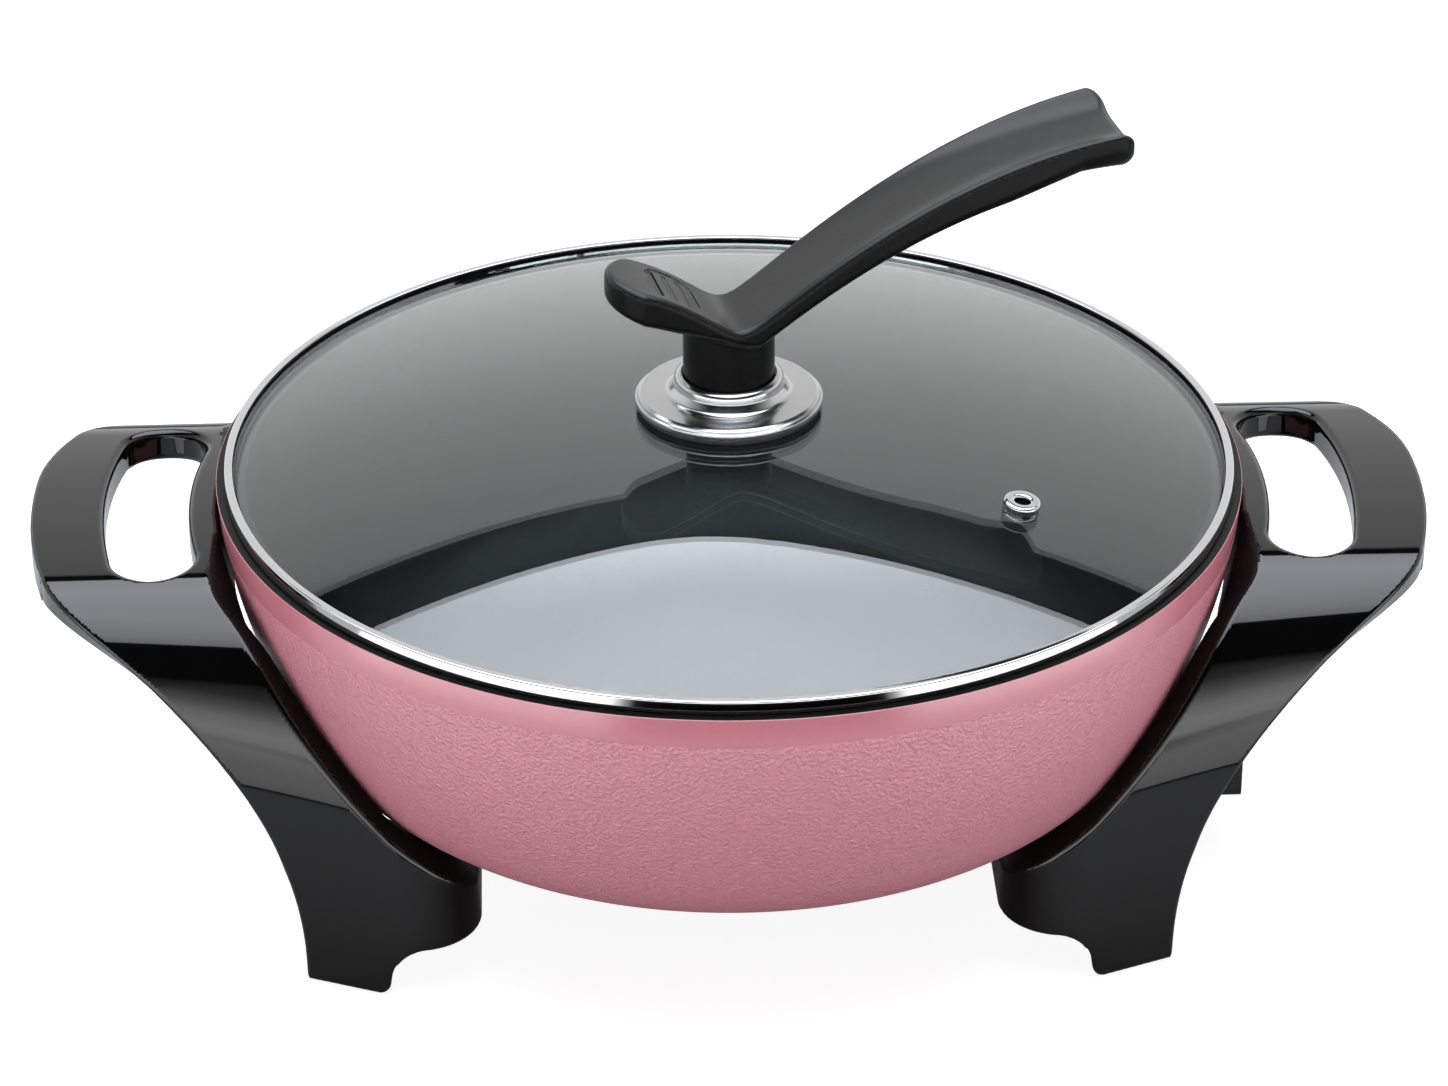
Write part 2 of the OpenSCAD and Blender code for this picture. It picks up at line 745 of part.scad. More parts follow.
// Space above the middle of the handle, as a V over the neck
module above_neck() {
    high = handle_top(arm_len);
    rotate([90, 0, 0])
        translate([0, 0, -neck_reach])
            linear_extrude(2 * neck_reach)
                polygon([[-neck_reach, handle_mid(-neck_reach)], [neck_dip_s, handle_mid(neck_dip_s)],
                    [neck_reach, handle_mid(neck_reach)], [neck_reach, high], [-neck_reach, high]]);
}

module lid_handle() {
    color(black)
    rotate([0, 0, handle_turn])
        difference() {
            union() {
                handle_body();
                difference() {
                    translate([0, 0, neck_z])
                        cylinder(r = neck_r, h = handle_mid(neck_reach) - neck_z);
                    above_neck();
                }
            }
            translate([0, 0, neck_z - 1])
                cylinder(r = screw_r + snug, h = screw_top - neck_z + 2);
        }
}

module lid_screw() {
    color(steel)
    translate([0, 0, lid_washer_z - snug]) {
        translate([0, 0, -screw_head_h])
            cylinder(r = screw_head_r, h = screw_head_h);
        translate([0, 0, -1])
            cylinder(r = screw_r, h = screw_top - lid_washer_z + 1);
    }
}

module lid_ring(r, z) {
    translate([0, 0, z])
        difference() {
            cylinder(r = r, h = seal_t);
            translate([0, 0, -1])
                cylinder(r = screw_r + run, h = seal_t + 2);
        }
}

module lid_washer() { color(steel) lid_ring(lid_washer_r, lid_washer_z); }
module inner_gasket() { color(black) lid_ring(inner_gasket_r, inner_gasket_z); }

pan_body();
heating_element();
terminal_block();
block_screws();
terminal_insulators();
terminal_pins();
probe_sleeve();
inlet_shroud();
inlet_screws();
left_bracket();
right_bracket();
left_bracket_screws();
right_bracket_screws();
left_bracket_washers();
right_bracket_washers();
lid_glass();
lid_band();
vent_eyelet();
vent_seal();
knob_plate();
plate_gasket();
lid_handle();
lid_screw();
lid_washer();
inner_gasket();
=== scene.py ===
"""Looks of the electric skillet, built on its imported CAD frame.

Lengths are in millimetres until a mesh is made. The stage is in metres.
"""
import math

import bpy
import numpy as np
from mathutils import Matrix, Vector
from mathutils.geometry import delaunay_2d_cdt


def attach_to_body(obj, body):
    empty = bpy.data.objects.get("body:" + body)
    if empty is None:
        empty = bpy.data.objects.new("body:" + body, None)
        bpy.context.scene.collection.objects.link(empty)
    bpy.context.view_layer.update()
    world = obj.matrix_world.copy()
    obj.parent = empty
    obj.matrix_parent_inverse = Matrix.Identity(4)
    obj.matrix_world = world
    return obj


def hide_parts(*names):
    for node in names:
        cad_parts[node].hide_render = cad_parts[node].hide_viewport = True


MM = 0.001

# Pan
PAN_R, PAN_H = 161.0, 133.0
BASE_Z, FLAT_R, HEEL_R, HEEL_TURN = 36.3, 98.0, 48.0, 63.0
BAND_LOW, LIP_DRAFT, LIP_W, LIP_ROUND = 123.0, 1.0, 3.6, 0.8
PINK_ROUND, PINK_TOP_W = 0.2, 0.3
FLOOR_Z, SEAT_Z, SEAT_W, WALL_T = 42.3, 129.0, 5.0, 4.0
AXIS_R, CAST_SHARP, PAN_SIDES, BOSS_SIDES, RIB_SIDES = 0.05, 35.0, 256, 40, 160
BOSS_X, BOSS_Y, BOSS_R, BOSS_Z, BOSS_DRAFT, BOLT_R = 95.0, 50.0, 7.0, 27.0, 0.6, 2.5
# How far cast forms reach into the pan's underside, and the play between pieces that touch
ROOT, PLAY = 1.0, 0.1
RING_R, RIB_T, RIB_H, RIB_ROUND, TUBE_Z, TUBE_R = 66.0, 1.6, 5.0, 0.5, 32.6, 3.6

# Terminal block
BLOCK_X, BLOCK_HALF, BLOCK_Z, BLOCK_RISE = (70.0, 112.0), 22.0, 24.3, 3.0
BLOCK_ROUND, BORE_ROUND = 1.2, 0.3
PIN_Y, TAIL_R, SLEEVE_R, SLEEVE_Z, SLEEVE_STOP = 12.0, 3.4, 4.8, 30.6, 1.9
FIX_Y, FIX_Z, FIX_R, FIX_DEEP = 18.5, 27.6, 1.5, 9.0
HOLD_X, HOLD_R = 78.0, 1.7
# Box that a surface net covers: low corner, high corner, step
BLOCK_NET = (68, -24, 22), (114, 24, 41), 0.7

# Brackets
GRIP_R, GRIP_Z, GRIP_T, LEG_T, PAN_GAP = 219.0, 124.3, 11.0, 5.0, 1.2
# Inner edge: where its gap to the pan widens and by how much, and its bevel
EDGE_EASE, EASE_Y, EASE_SPREAD, BEVEL_W, BEVEL_DEPTH = 2.4, 57.0, 9.0, 5.8, 7.0
# Easing of the loop's corners: depth, share of it in front, and where it grows along y and z
CORNER_EASE, FRONT_SHARE = 9.0, 0.25
CORNER_Y, CORNER_SPAN, CORNER_MOST, CORNER_Z, CORNER_RISE = 14.0, 46.0, 1.25, 40.0, 60.0
# Rib behind the inner edge: depth at the loop and at the legs, width, and where it deepens
EDGE_RIB_T, EDGE_RIB_W, EDGE_RIB_Z, EDGE_RIB_FALL = (14.0, 34.0), 10.0, 95.0, 20.0
# Arch seen from the side: flat bow over the top, shoulder, haunch; tilts in degrees
TOP_HALF, TOP_TILT, SHOULDER_R, SHOULDER_TILT, HAUNCH_R = 46.0, 4.2, 44.3, 60.0, 88.0
# Twist of the leg and sweep of its outer edge, both growing towards the foot
FOOT_TURN, TURN_POWER, FOOT_X, FOOT_OUT_X, SWEEP_POWER = 0.42, 1.25, 123.0, 135.0, 2.37
# Corner back under the pan, and the lower edge beside the foot
CORNER_X, CORNER_R, SILL_Z, FILLET_R, FOOT_SLANT = 107.0, 20.0, 16.5, 10.0, 0.15
HOLE_MID_R, HOLE_HALF_W, HOLE_HALF_L, HOLE_LOW = 183.0, 13.0, 49.0, 90.0
EDGE_ROUND, INNER_ROUND, HOLE_ROUND, TOE_ROUND = 1.3, 1.2, 2.4, 4.0
SHELF_LOW, SHELF_HIGH = (82.0, 30.0, 22.0), (106.0, 72.0, 27.0)
SHELF_ROUND, SHELF_FILLET, BOLT_PLAY = 0.8, 1.0, 0.2
# How squarely a face looks at the pan to count as inner edge, which gets the painted shade: beside the finger
# hole, elsewhere
TOWARDS_PAN = 0.8, 0.3
BRACKET_NET = (78, -110, -2), (222, 110, 127), 1.0
# Field value well inside any form
DEEP = -60.0

# Lid
# Channel: radius, lowest and highest edge, sheet, rounding; its lip, skirt and hem
LID_R, BAND_Z, BAND_TOP, BAND_T, BAND_ROUND = 157.0, 129.2, 137.6, 0.7, 0.6
BAND_LIP, SKIRT_R, SKIRT_Z, HEM_R = 6.0, 158.2, 133.3, 155.6
STEEL_SHARP, BAND_SIDES, PLATE_SIDES, VENT_SHARP, VENT_SIDES = 50.0, 320, 200, 40.0, 64
DOME_TOP, DOME_R, GLASS_T, GLASS_R, GLASS_HOLE_R = 153.7, 667.6, 4.0, 155.5, 3.2
# Net of the glass: spacing, rows' share of it, and clearance from rim and holes
GLASS_STEP, ROW_SHARE, RIM_CLEAR, HOLE_CLEAR, RIM_SIDES, HOLE_SIDES = 4.0, 0.866, 2.0, 1.5, 360, 48
VENT_DIST, VENT_TURN, VENT_BORE_R, VENT_BARREL_R, VENT_FLANGE_R = 104.3, -34.0, 2.4, 4.0, 5.7
VENT_FOOT, VENT_HEAD, VENT_TOP, VENT_CURL, VENT_PLAY = -5.1, 0.9, 2.7, 0.8, 0.3
PLATE_R, PLATE_Z, PLATE_T, FLANGE_H = 29.4, 154.82, 1.2, 3.2
HUB_R, HUB_H, HUB_FLOOR_Z = 14.9, 9.6, 161.02

# Lid handle
NECK_R, NECK_Z, V_Z, HANDLE_TURN = 14.3, 161.12, 180.52, 11.5
ARM_LEN, THUMB_LEN, THUMB_W, TIP_W, TROUGH, RIM_SHARE = 125.0, 39.0, 30.0, 40.5, 7.0, 0.8
THUMB_BOW_R, TOP_BLEND, LOW_BLEND, SPREAD_POWER = 17.0, 5.0, 0.8, 1.5
# Side lines of the thumb rest and arm: height over V_Z, slope and bend along the handle
THUMB_TOP, ARM_TOP = (1.9, -1.0225, -0.01153), (1.6, 0.8639, -0.00295)
THUMB_LOW, ARM_LOW = (-0.6, -0.3385, 0.0), (-7.4, 0.8082, -0.00293)
# Tip: how much thinner, from where, over what length, and its corners
TIP_TAPER, TIP_FROM, TIP_OVER, TIP_CORNER = 3.6, 84.0, 24.0, 6.0
HANDLE_ROUND, TIP_ROUND, NECK_ROUND, NECK_FILLET = 2.4, 1.6, 0.6, 1.2
# Thumb rest: its ends along the handle, its sides, its grooves and their sides
REST_S, REST_N, REST_DEEP, REST_CORNER, REST_ROUND = (-25.5, -10.8), (-11.0, 10.0), 0.35, 5.0, 0.2
GROOVES_S, GROOVE_N, GROOVE_DEEP = (-23.6, -19.2, -14.8), (-9.6, 8.0), 0.7
GROOVE_HALF, GROOVE_ROUND = 0.7, 0.6
HANDLE_NET = (-42, -24, 158), (127, 24, 244), 0.65
# Slope of a face's normal below which it is a side of the handle, which gets a darker copy of its black as
# painted shade
SIDE_SLOPE = 0.3

# Camera, matched to the photograph
VIEW_AZ, VIEW_EL, VIEW_ROLL, VIEW_DIST = -2.37, 28.58, 0.09, 1600.0
VIEW_AIM, VIEW_SHIFT, VIEW_LENS, VIEW_SENSOR = (0.0, 0.0, 94.0), (-1.6, 8.3), 124.93, 36.0

# Studio, in metres
SOFT_BOX_Z, SOFT_FRAME_Z, SOFT_BOX_COLOUR = 1.0, 1.004, (0.96, 1.0, 1.07)
# Rings of the soft box, as shares of its outline, and its light: middle, second ring, sides, rear point
SOFT_BOX_RINGS, SOFT_BOX_LIGHT, REAR_POWER = (1.0, 0.8, 0.5), (5.1, 4.15, 3.0, 5.4), 12
# Outline of the soft box and of its frame: half width, rear point, front end
SOFT_BOX_SIZE, SOFT_FRAME_SIZE = (0.75, 0.862, -0.67), (1.07, 1.085, -1.05)
# Slope of its rear edges, and how blunt its point is
SOFT_BOX_RAKE, SOFT_BOX_BLUNT = 0.42, 0.08
FRONT_HALF_TURN, FRONT_COLUMNS, FRONT_GAP, FRONT_GAP_SOFT = 75.0, 75, (-22.0, 28.0), 4.0
# Rows of the front sheet: radius, height, light at the sides, share of it in the gap
FRONT_ROWS = ((0.31, 0.004, 1.8, 0.0), (0.36, 0.004, 2.1, 0.0), (0.42, 0.004, 2.2, 0.0),
              (0.60, 0.02, 2.6, 0.3), (0.95, 0.05, 3.3, 1.0), (1.15, 0.12, 3.6, 1.0),
              (1.25, 0.24, 2.8, 1.0), (1.30, 0.36, 1.4, 1.0), (1.34, 0.50, 0.45, 1.0), (1.40, 0.75, 0.0, 1.0))
# Floor: half its width, height, tone, and lift to white for the camera
TABLE_HALF, TABLE_Z, TABLE_TONE, TABLE_LIFT = 12.0, -0.0003, 0.4, 0.87
# Light of the room's walls: sine of the elevation, level; and where it fades towards the front
WALL_LIGHT = (0.17, 0.98), (0.30, 0.94), (0.42, 0.80), (0.57, 0.72), (0.62, 0.62), (0.66, 0.0)
WALL_FADE, WALL_GAIN = (-0.55, 0.1), 1.28
# Ends of the noise's usual range, between which colours and finishes blend
BLEND_LOW, BLEND_HIGH = 0.3, 0.7


# Fields: functions of x, y, z that are below zero inside a form

def round_max(a, b, r):
    """Larger of two fields, with the edge between them rounded by r."""
    return np.minimum(np.maximum(a, b), -r) + np.hypot(np.maximum(a + r, 0), np.maximum(b + r, 0))


def round_min(a, b, r):
    """Smaller of two fields, with a fillet of radius r between them."""
    return -round_max(-a, -b, r)


def box_field(x, y, z, low, high, r):
    """Box with rounded edges."""
    d = [np.maximum(lo - v, v - hi) for v, lo, hi in zip((x, y, z), low, high)]
    return round_max(round_max(d[0], d[1], r), d[2], r)


def gradient(field, points, step=0.02):
    """Slope of a field at points."""
    columns = []
    for axis in range(3):
        shift = np.zeros(3)
        shift[axis] = step
        columns.append((field(*(points + shift).T) - field(*(points - shift).T)) / (2 * step))
    return np.stack(columns, axis=1)


def settle(field, points, reach, rounds=5):
    """Slides points onto the surface of a field; gives the points and the surface's normals."""
    points = points.copy()
    for _ in range(rounds):
        slope = gradient(field, points)
        size = np.maximum((slope ** 2).sum(axis=1), 1e-4)
        step = np.clip(field(*points.T) / size, -reach, reach)
        points -= step[:, None] * slope
    slope = gradient(field, points)
    return points, slope / np.maximum(np.linalg.norm(slope, axis=1), 1e-6)[:, None]


def surface_net(field, low, high, step):
    """Quads over the surface of a field inside a box; gives points, normals and faces."""
    low = np.array(low, dtype=float)
    axes = [np.arange(a, b + step, step) for a, b in zip(low, high)]
    value = field(*np.meshgrid(*axes, indexing="ij"))
    inside = value < 0
    cells = [n - 1 for n in value.shape]

    def corner(array, i, j, k):
        return array[i:i + cells[0], j:j + cells[1], k:k + cells[2]]

    corners = [(i, j, k) for i in (0, 1) for j in (0, 1) for k in (0, 1)]
    count = sum(corner(inside, *c).astype(np.int8) for c in corners)
    mixed = (count > 0) & (count < 8)
    places = np.argwhere(mixed)
    total = np.zeros((len(places), 3))
    hits = np.zeros(len(places))
    for start in corners:
        for axis in range(3):
            if start[axis]:
                continue
            end = tuple(1 if n == axis else c for n, c in enumerate(start))
            a, b = corner(value, *start)[mixed], corner(value, *end)[mixed]
            cut = (a < 0) != (b < 0)
            share = np.where(cut, a / np.where(cut, a - b, 1), 0)
            place = places + np.array(start)
            place = place + share[:, None] * np.eye(3)[axis]
            total += np.where(cut[:, None], place, 0)
            hits += cut
    points = low + total / hits[:, None] * step
    number = np.full(cells, -1)
    number[mixed] = np.arange(len(places))
    faces = []
    for axis in range(3):
        flat = np.moveaxis(inside, axis, 0)
        turned = np.moveaxis(number, axis, 0)
        a, b = flat[:-1, 1:-1, 1:-1], flat[1:, 1:-1, 1:-1]
        for out, flip in ((a & ~b, False), (~a & b, True)):
            i, j, k = np.nonzero(out)
            ring = [turned[i, j, k], turned[i, j + 1, k], turned[i, j + 1, k + 1], turned[i, j, k + 1]]
            if flip != (axis == 1):
                ring.reverse()
            faces.append(np.stack(ring, axis=1))
    points, normals = settle(field, points, step)
    return points, normals, np.concatenate(faces)


# Meshes

def make_mesh(name, points, faces, materials, normals=None, sharp=None, marks=None):
    """Mesh object from points in millimetres.

    marks gives each face its material, sharp the angle of hard edges.
    """
    mesh = bpy.data.meshes.new(name)
    mesh.from_pydata((np.asarray(points) * MM).tolist(), [], [list(map(int, f)) for f in faces])
    for material in materials:
        mesh.materials.append(material)
    if marks is not None:
        mesh.polygons.foreach_set("material_index", np.asarray(marks, dtype=np.int32))
    mesh.shade_smooth()
    if sharp is not None:
        mesh.set_sharp_from_angle(angle=math.radians(sharp))
    if normals is not None:
        mesh.normals_split_custom_set_from_vertices(np.asarray(normals).tolist())
    mesh.update()
    piece = bpy.data.objects.new(name, mesh)
    bpy.context.scene.collection.objects.link(piece)
    return piece


def attach(piece, body, slot, *nodes):
    """Makes a piece part of a body, in place of CAD nodes."""
    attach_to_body(piece, body)
    if nodes:
        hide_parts(*nodes)


def arc(centre, r, a, b, steps):
    """Points on an arc from angle a to b, in degrees."""
    angles = np.radians(np.linspace(a, b, steps + 1))
    return [(centre[0] + r * math.cos(t), centre[1] + r * math.sin(t)) for t in angles]


def swing_arc(p, q, slope):
    """Centre, radius and last slope of the arc that leaves p at a slope in degrees and ends at q."""
    chord = np.subtract(q, p)
    end = 2 * math.degrees(math.atan2(chord[1], chord[0])) - slope
    r = np.linalg.norm(chord) / (2 * math.sin(math.radians(end - slope) / 2))
    centre = (p[0] - r * math.sin(math.radians(slope)), p[1] + r * math.cos(math.radians(slope)))
    return centre, r, end


def swing(p, q, slope, steps):
    """Points on the arc that leaves p at a slope and ends at q."""
    centre, r, end = swing_arc(p, q, slope)
    return arc(centre, r, slope - 90, end - 90, steps)


def rounded(corners, steps=5):
    """Outline through corners (r, z, radius), each corner rounded by its radius."""
    line = []
    for i, (x, z, r) in enumerate(corners):
        here = np.array((x, z))
        if r == 0:
            line.append((x, z))
            continue
        before = np.array(corners[i - 1][:2]) - here
        after = np.array(corners[(i + 1) % len(corners)][:2]) - here
        before, after = before / np.linalg.norm(before), after / np.linalg.norm(after)
        half = math.acos(np.clip(before @ after, -1, 1)) / 2
        a, b = here + before * r / math.tan(half), here + after * r / math.tan(half)
        middle = here + (before + after) / np.linalg.norm(before + after) * r / math.sin(half)
        for t in np.linspace(0, 1, steps + 1):
            spoke = (a - middle) * (1 - t) + (b - middle) * t
            line.append(tuple(middle + spoke / np.linalg.norm(spoke) * r))
    return line


def revolve(outline, segments, closed, turn=(0.0, 360.0)):
    """Outline (r, z) turned about the axis: points, faces, and each face's place in the outline."""
    outline = np.asarray(outline)
    r, z = outline.T
    full = abs(turn[1] - turn[0] - 360) < 1e-6
    angles = np.radians(np.linspace(*turn, segments + 1)[:segments if full else None])
    m = len(outline)
    points = np.concatenate([np.stack([r * math.cos(t), r * math.sin(t), z], axis=1) for t in angles])
    faces, places = [], []
    for k in range(segments):
        here, there = k * m, (k + 1) % len(angles) * m
        for i in range(m if closed else m - 1):
            j = (i + 1) % m
            faces.append([here + i, there + i, there + j, here + j])
            places.append(i)
    if not full:
        faces.append(list(range(m - 1, -1, -1)))
        faces.append(list(range(len(points) - m, len(points))))
        places += [0, 0]
    return points, faces, places


def mirrored(points, normals, faces):
    """The same surface on the other side of the plane x = 0."""
    flip = np.array((-1.0, 1.0, 1.0))
    return points * flip, normals * flip, faces[:, ::-1]


# Materials

class Shader:
    """Node tree of one material, with short ways to add and link nodes."""

    def __init__(self, name):
        self.material = bpy.data.materials.new(name)
        self.material.use_nodes = True
        self.tree = self.material.node_tree
        self.tree.nodes.clear()
        self.out = self.tree.nodes.new("ShaderNodeOutputMaterial")
        self.place = self.add("ShaderNodeTexCoord").outputs["Object"]

    def add(self, kind, **values):
        node = self.tree.nodes.new(kind)
        for key, value in values.items():
            setattr(node, key, value)
        return node

    def link(self, source, target):
        self.tree.links.new(source, target)

    def math(self, operation, a, b):
        node = self.add("ShaderNodeMath", operation=operation)
        for value, socket in zip((a, b), node.inputs):
            if isinstance(value, (int, float)):
                socket.default_value = value
            else:
                self.link(value, socket)
        return node.outputs[0]

    def noise(self, scale):
        node = self.add("ShaderNodeTexNoise")
        for key, value in (("Scale", scale), ("Detail", 4.0), ("Roughness", 0.5)):
            node.inputs[key].default_value = value
        self.link(self.place, node.inputs["Vector"])
        return node.outputs["Fac"]

    def cells(self, scale):
        """Distance to the middle of small soft-edged cells."""
        node = self.add("ShaderNodeTexVoronoi", feature="SMOOTH_F1")
        node.inputs["Scale"].default_value = scale
        self.link(self.place, node.inputs["Vector"])
        return node.outputs["Distance"]

    def ramp(self, fac, dark, light):
        """Colour between dark and light as a noise goes through its usual range."""
        node = self.add("ShaderNodeValToRGB")
        for end, at, colour in zip(node.color_ramp.elements, (BLEND_LOW, BLEND_HIGH), (dark, light)):
            end.position = at
            end.color = (*colour, 1.0)
        self.link(fac, node.inputs["Fac"])
        return node.outputs["Color"]

    def mix(self, fac, a, b):
        """Colour a where fac is 0, b where it is 1."""
        node = self.add("ShaderNodeMixRGB")
        for value, socket in zip((fac, a, b), node.inputs):
            self.link(value, socket)
        return node.outputs["Color"]

    def height(self):
        """Height above the object's origin, in metres."""
        node = self.add("ShaderNodeSeparateXYZ")
        self.link(self.place, node.inputs[0])
        return node.outputs["Z"]

    def bump(self, fac, strength, distance):
        node = self.add("ShaderNodeBump")
        node.inputs["Strength"].default_value = strength
        node.inputs["Distance"].default_value = distance
        self.link(fac, node.inputs["Height"])
        return node.outputs["Normal"]

    def surface(self, colour, rough, normal=None, **constants):
        """Principled surface; constants are set straight on its sockets."""
        node = self.add("ShaderNodeBsdfPrincipled")
        for key, value in constants.items():
            node.inputs[key.replace("_", " ")].default_value = value
        self.link(colour, node.inputs["Base Color"])
        if isinstance(rough, float):
            node.inputs["Roughness"].default_value = rough
        else:
            self.link(rough, node.inputs["Roughness"])
        if normal is not None:
            self.link(normal, node.inputs["Normal"])
        return node.outputs["BSDF"]

    def done(self, shader):
        """Ends the tree with a shader; gives the material."""
        self.link(shader, self.out.inputs["Surface"])
        return self.material


def grey(level):
    return level, level, level


def speckled(name, dark, light, scale, rough, bump=0.0, **constants):
    """Plain moulded or cast surface whose tone and finish vary slightly."""
    s = Shader(name)
    grain = s.noise(scale)
    gloss = s.ramp(s.noise(scale * 0.13), grey(rough * 0.9), grey(min(1.0, rough * 1.12)))
    normal = s.bump(grain, bump, 0.2 * MM) if bump else None
    return s.done(s.surface(s.ramp(grain, dark, light), gloss, normal, **constants))


def enamel():
    """Pink coating: grained and duller on the wall, smooth on the band below the lip."""
    s = Shader("enamel_pink")
    wall = s.math("LESS_THAN", s.height(), (BAND_LOW + 0.3) * MM)
    wrinkle = s.math("ADD", s.cells(950.0), s.math("MULTIPLY", s.noise(1500.0), 0.7))
    relief = s.math("MULTIPLY", wrinkle, wall)
    rough = s.math("ADD", s.math("MULTIPLY", wall, 0.17), 0.22)
    grain = s.noise(330.0)
    band_tone = s.ramp(grain, (0.46, 0.157, 0.195), (0.48, 0.164, 0.204))
    wall_tone = s.ramp(grain, (0.505, 0.174, 0.221), (0.545, 0.188, 0.24))
    tone = s.mix(wall, band_tone, wall_tone)
    return s.done(s.surface(tone, rough, s.bump(relief, 1.0, 0.75 * MM), IOR=1.95))


def clear_glass():
    """Slightly green glass that lets light through to what lies under it."""
    s = Shader("clear_glass")
    tint = s.ramp(s.noise(8.0), (0.87, 0.935, 0.94), (0.89, 0.95, 0.955))
    solid = s.surface(tint, 0.0, None, Transmission_Weight=1.0, IOR=1.5)
    through = s.add("ShaderNodeBsdfTransparent")
    s.link(tint, through.inputs["Color"])
    mix = s.add("ShaderNodeMixShader")
    s.link(s.add("ShaderNodeLightPath").outputs["Is Shadow Ray"], mix.inputs[0])
    s.link(solid, mix.inputs[1])
    s.link(through.outputs[0], mix.inputs[2])
    return s.done(mix.outputs[0])


def steel(name, rough, tone=0.62):
    """Bare metal, faintly cool, whose tone and finish vary slightly."""
    s = Shader(name)
    colour = s.ramp(s.noise(60.0), (tone * 0.96, tone * 0.96, tone * 0.97), (tone, tone, tone * 1.01))
    gloss = s.ramp(s.noise(210.0), grey(rough * 0.9), grey(rough * 1.1))
    return s.done(s.surface(colour, gloss, None, Metallic=1.0))


# Pan

def pan_wall():
    """Lower and upper end of the pan's wall, between heel and band."""
    p = (FLAT_R + HEEL_R * math.sin(math.radians(HEEL_TURN)),
         BASE_Z + HEEL_R * (1 - math.cos(math.radians(HEEL_TURN))))
    q = (PAN_R - LIP_DRAFT, BAND_LOW)
    return p, q


def pan_distance(rho, z):
    """Distance from the pan's outer surface, above zero outside."""
    p, q = pan_wall()
    centre, r, _ = swing_arc(p, q, HEEL_TURN)
    heel_z = BASE_Z + HEEL_R
    heel = np.hypot(rho - FLAT_R, z - heel_z) - HEEL_R
    wall = np.hypot(rho - centre[0], z - centre[1]) - r
    band = rho - (q[0] + (z - BAND_LOW) * LIP_DRAFT / (PAN_H - BAND_LOW))
    on_heel = np.arctan2(rho - FLAT_R, heel_z - z) < math.radians(HEEL_TURN)
    side = np.where(on_heel, heel, np.where(z > BAND_LOW, band, wall))
    return np.where(rho < FLAT_R, BASE_Z - z, side)


def build_pan(paint, lip_paint, inside_paint):
    """Bowl with its heel, curved wall, upright band, lip and seat for the lid."""
    p, q = pan_wall()
    heel = arc((FLAT_R, BASE_Z + HEEL_R), HEEL_R, -90, HEEL_TURN - 90, 24)
    outside = [(AXIS_R, BASE_Z)] + heel + swing(p, q, HEEL_TURN, 30)[1:]
    seat_r = PAN_R - LIP_W
    pink_edge = rounded([q + (0,), (PAN_R - PLAY, PAN_H, PINK_ROUND), (PAN_R - PINK_TOP_W, PAN_H, 0)])[1:]
    top = rounded([pink_edge[-1] + (0,), (seat_r, PAN_H, LIP_ROUND), (seat_r, SEAT_Z, 0)])[1:-1]
    inner_r = HEEL_R - WALL_T
    inner_heel = arc((FLAT_R, FLOOR_Z + inner_r), inner_r, -90, HEEL_TURN - 90, 20)
    inside = inner_heel + swing(inner_heel[-1], (seat_r - SEAT_W, SEAT_Z), HEEL_TURN, 24)[1:]
    outline = outside + pink_edge + top + [(seat_r, SEAT_Z)] + inside[::-1] + [(AXIS_R, FLOOR_Z)]
    points, faces, places = revolve(outline, PAN_SIDES, False)
    lip_start = len(outside) + len(pink_edge) - 1
    inside_start = lip_start + len(top) + 1
    marks = [0 if i < lip_start else 1 if i < inside_start else 2 for i in places]
    pan = make_mesh("pan", points, faces, [paint, lip_paint, inside_paint], sharp=CAST_SHARP, marks=marks)
    attach(pan, "base", "pan_enamel", "pan_body")


def build_pan_fittings(paint):
    """Bosses and element ribs cast under the pan."""
    root_z = BASE_Z + ROOT
    boss = rounded([(BOLT_R, root_z, 0), (BOLT_R, BOSS_Z, 0.4), (BOSS_R, BOSS_Z, 0.8),
                    (BOSS_R + BOSS_DRAFT, root_z, 0)])
    points, faces, _ = revolve(boss, BOSS_SIDES, True)
    all_points, all_faces = [], []
    for x in (-BOSS_X, BOSS_X):
        for y in (-BOSS_Y, BOSS_Y):
            all_faces += [[v + len(all_points) * len(points) for v in f] for f in faces]
            all_points.append(points + np.array((x, y, 0)))
    bosses = make_mesh("pan_bosses", np.concatenate(all_points), all_faces, [paint], sharp=CAST_SHARP)
    attach(bosses, "base", "pan_enamel", "pan_body")
    gap = math.degrees(math.asin(BLOCK_HALF / RING_R))
    for name, r in (("inner", RING_R - TUBE_R - RIB_T - PLAY), ("outer", RING_R + TUBE_R + PLAY)):
        rib = rounded([(r, root_z, 0), (r, BASE_Z - RIB_H, RIB_ROUND),
                       (r + RIB_T, BASE_Z - RIB_H, RIB_ROUND), (r + RIB_T, root_z, 0)])
        points, faces, _ = revolve(rib, RIB_SIDES, True, (gap, 360 - gap))
        ring = make_mesh("element_rib_" + name, points, faces, [paint], sharp=CAST_SHARP)
        attach(ring, "base", "pan_enamel", "pan_body")


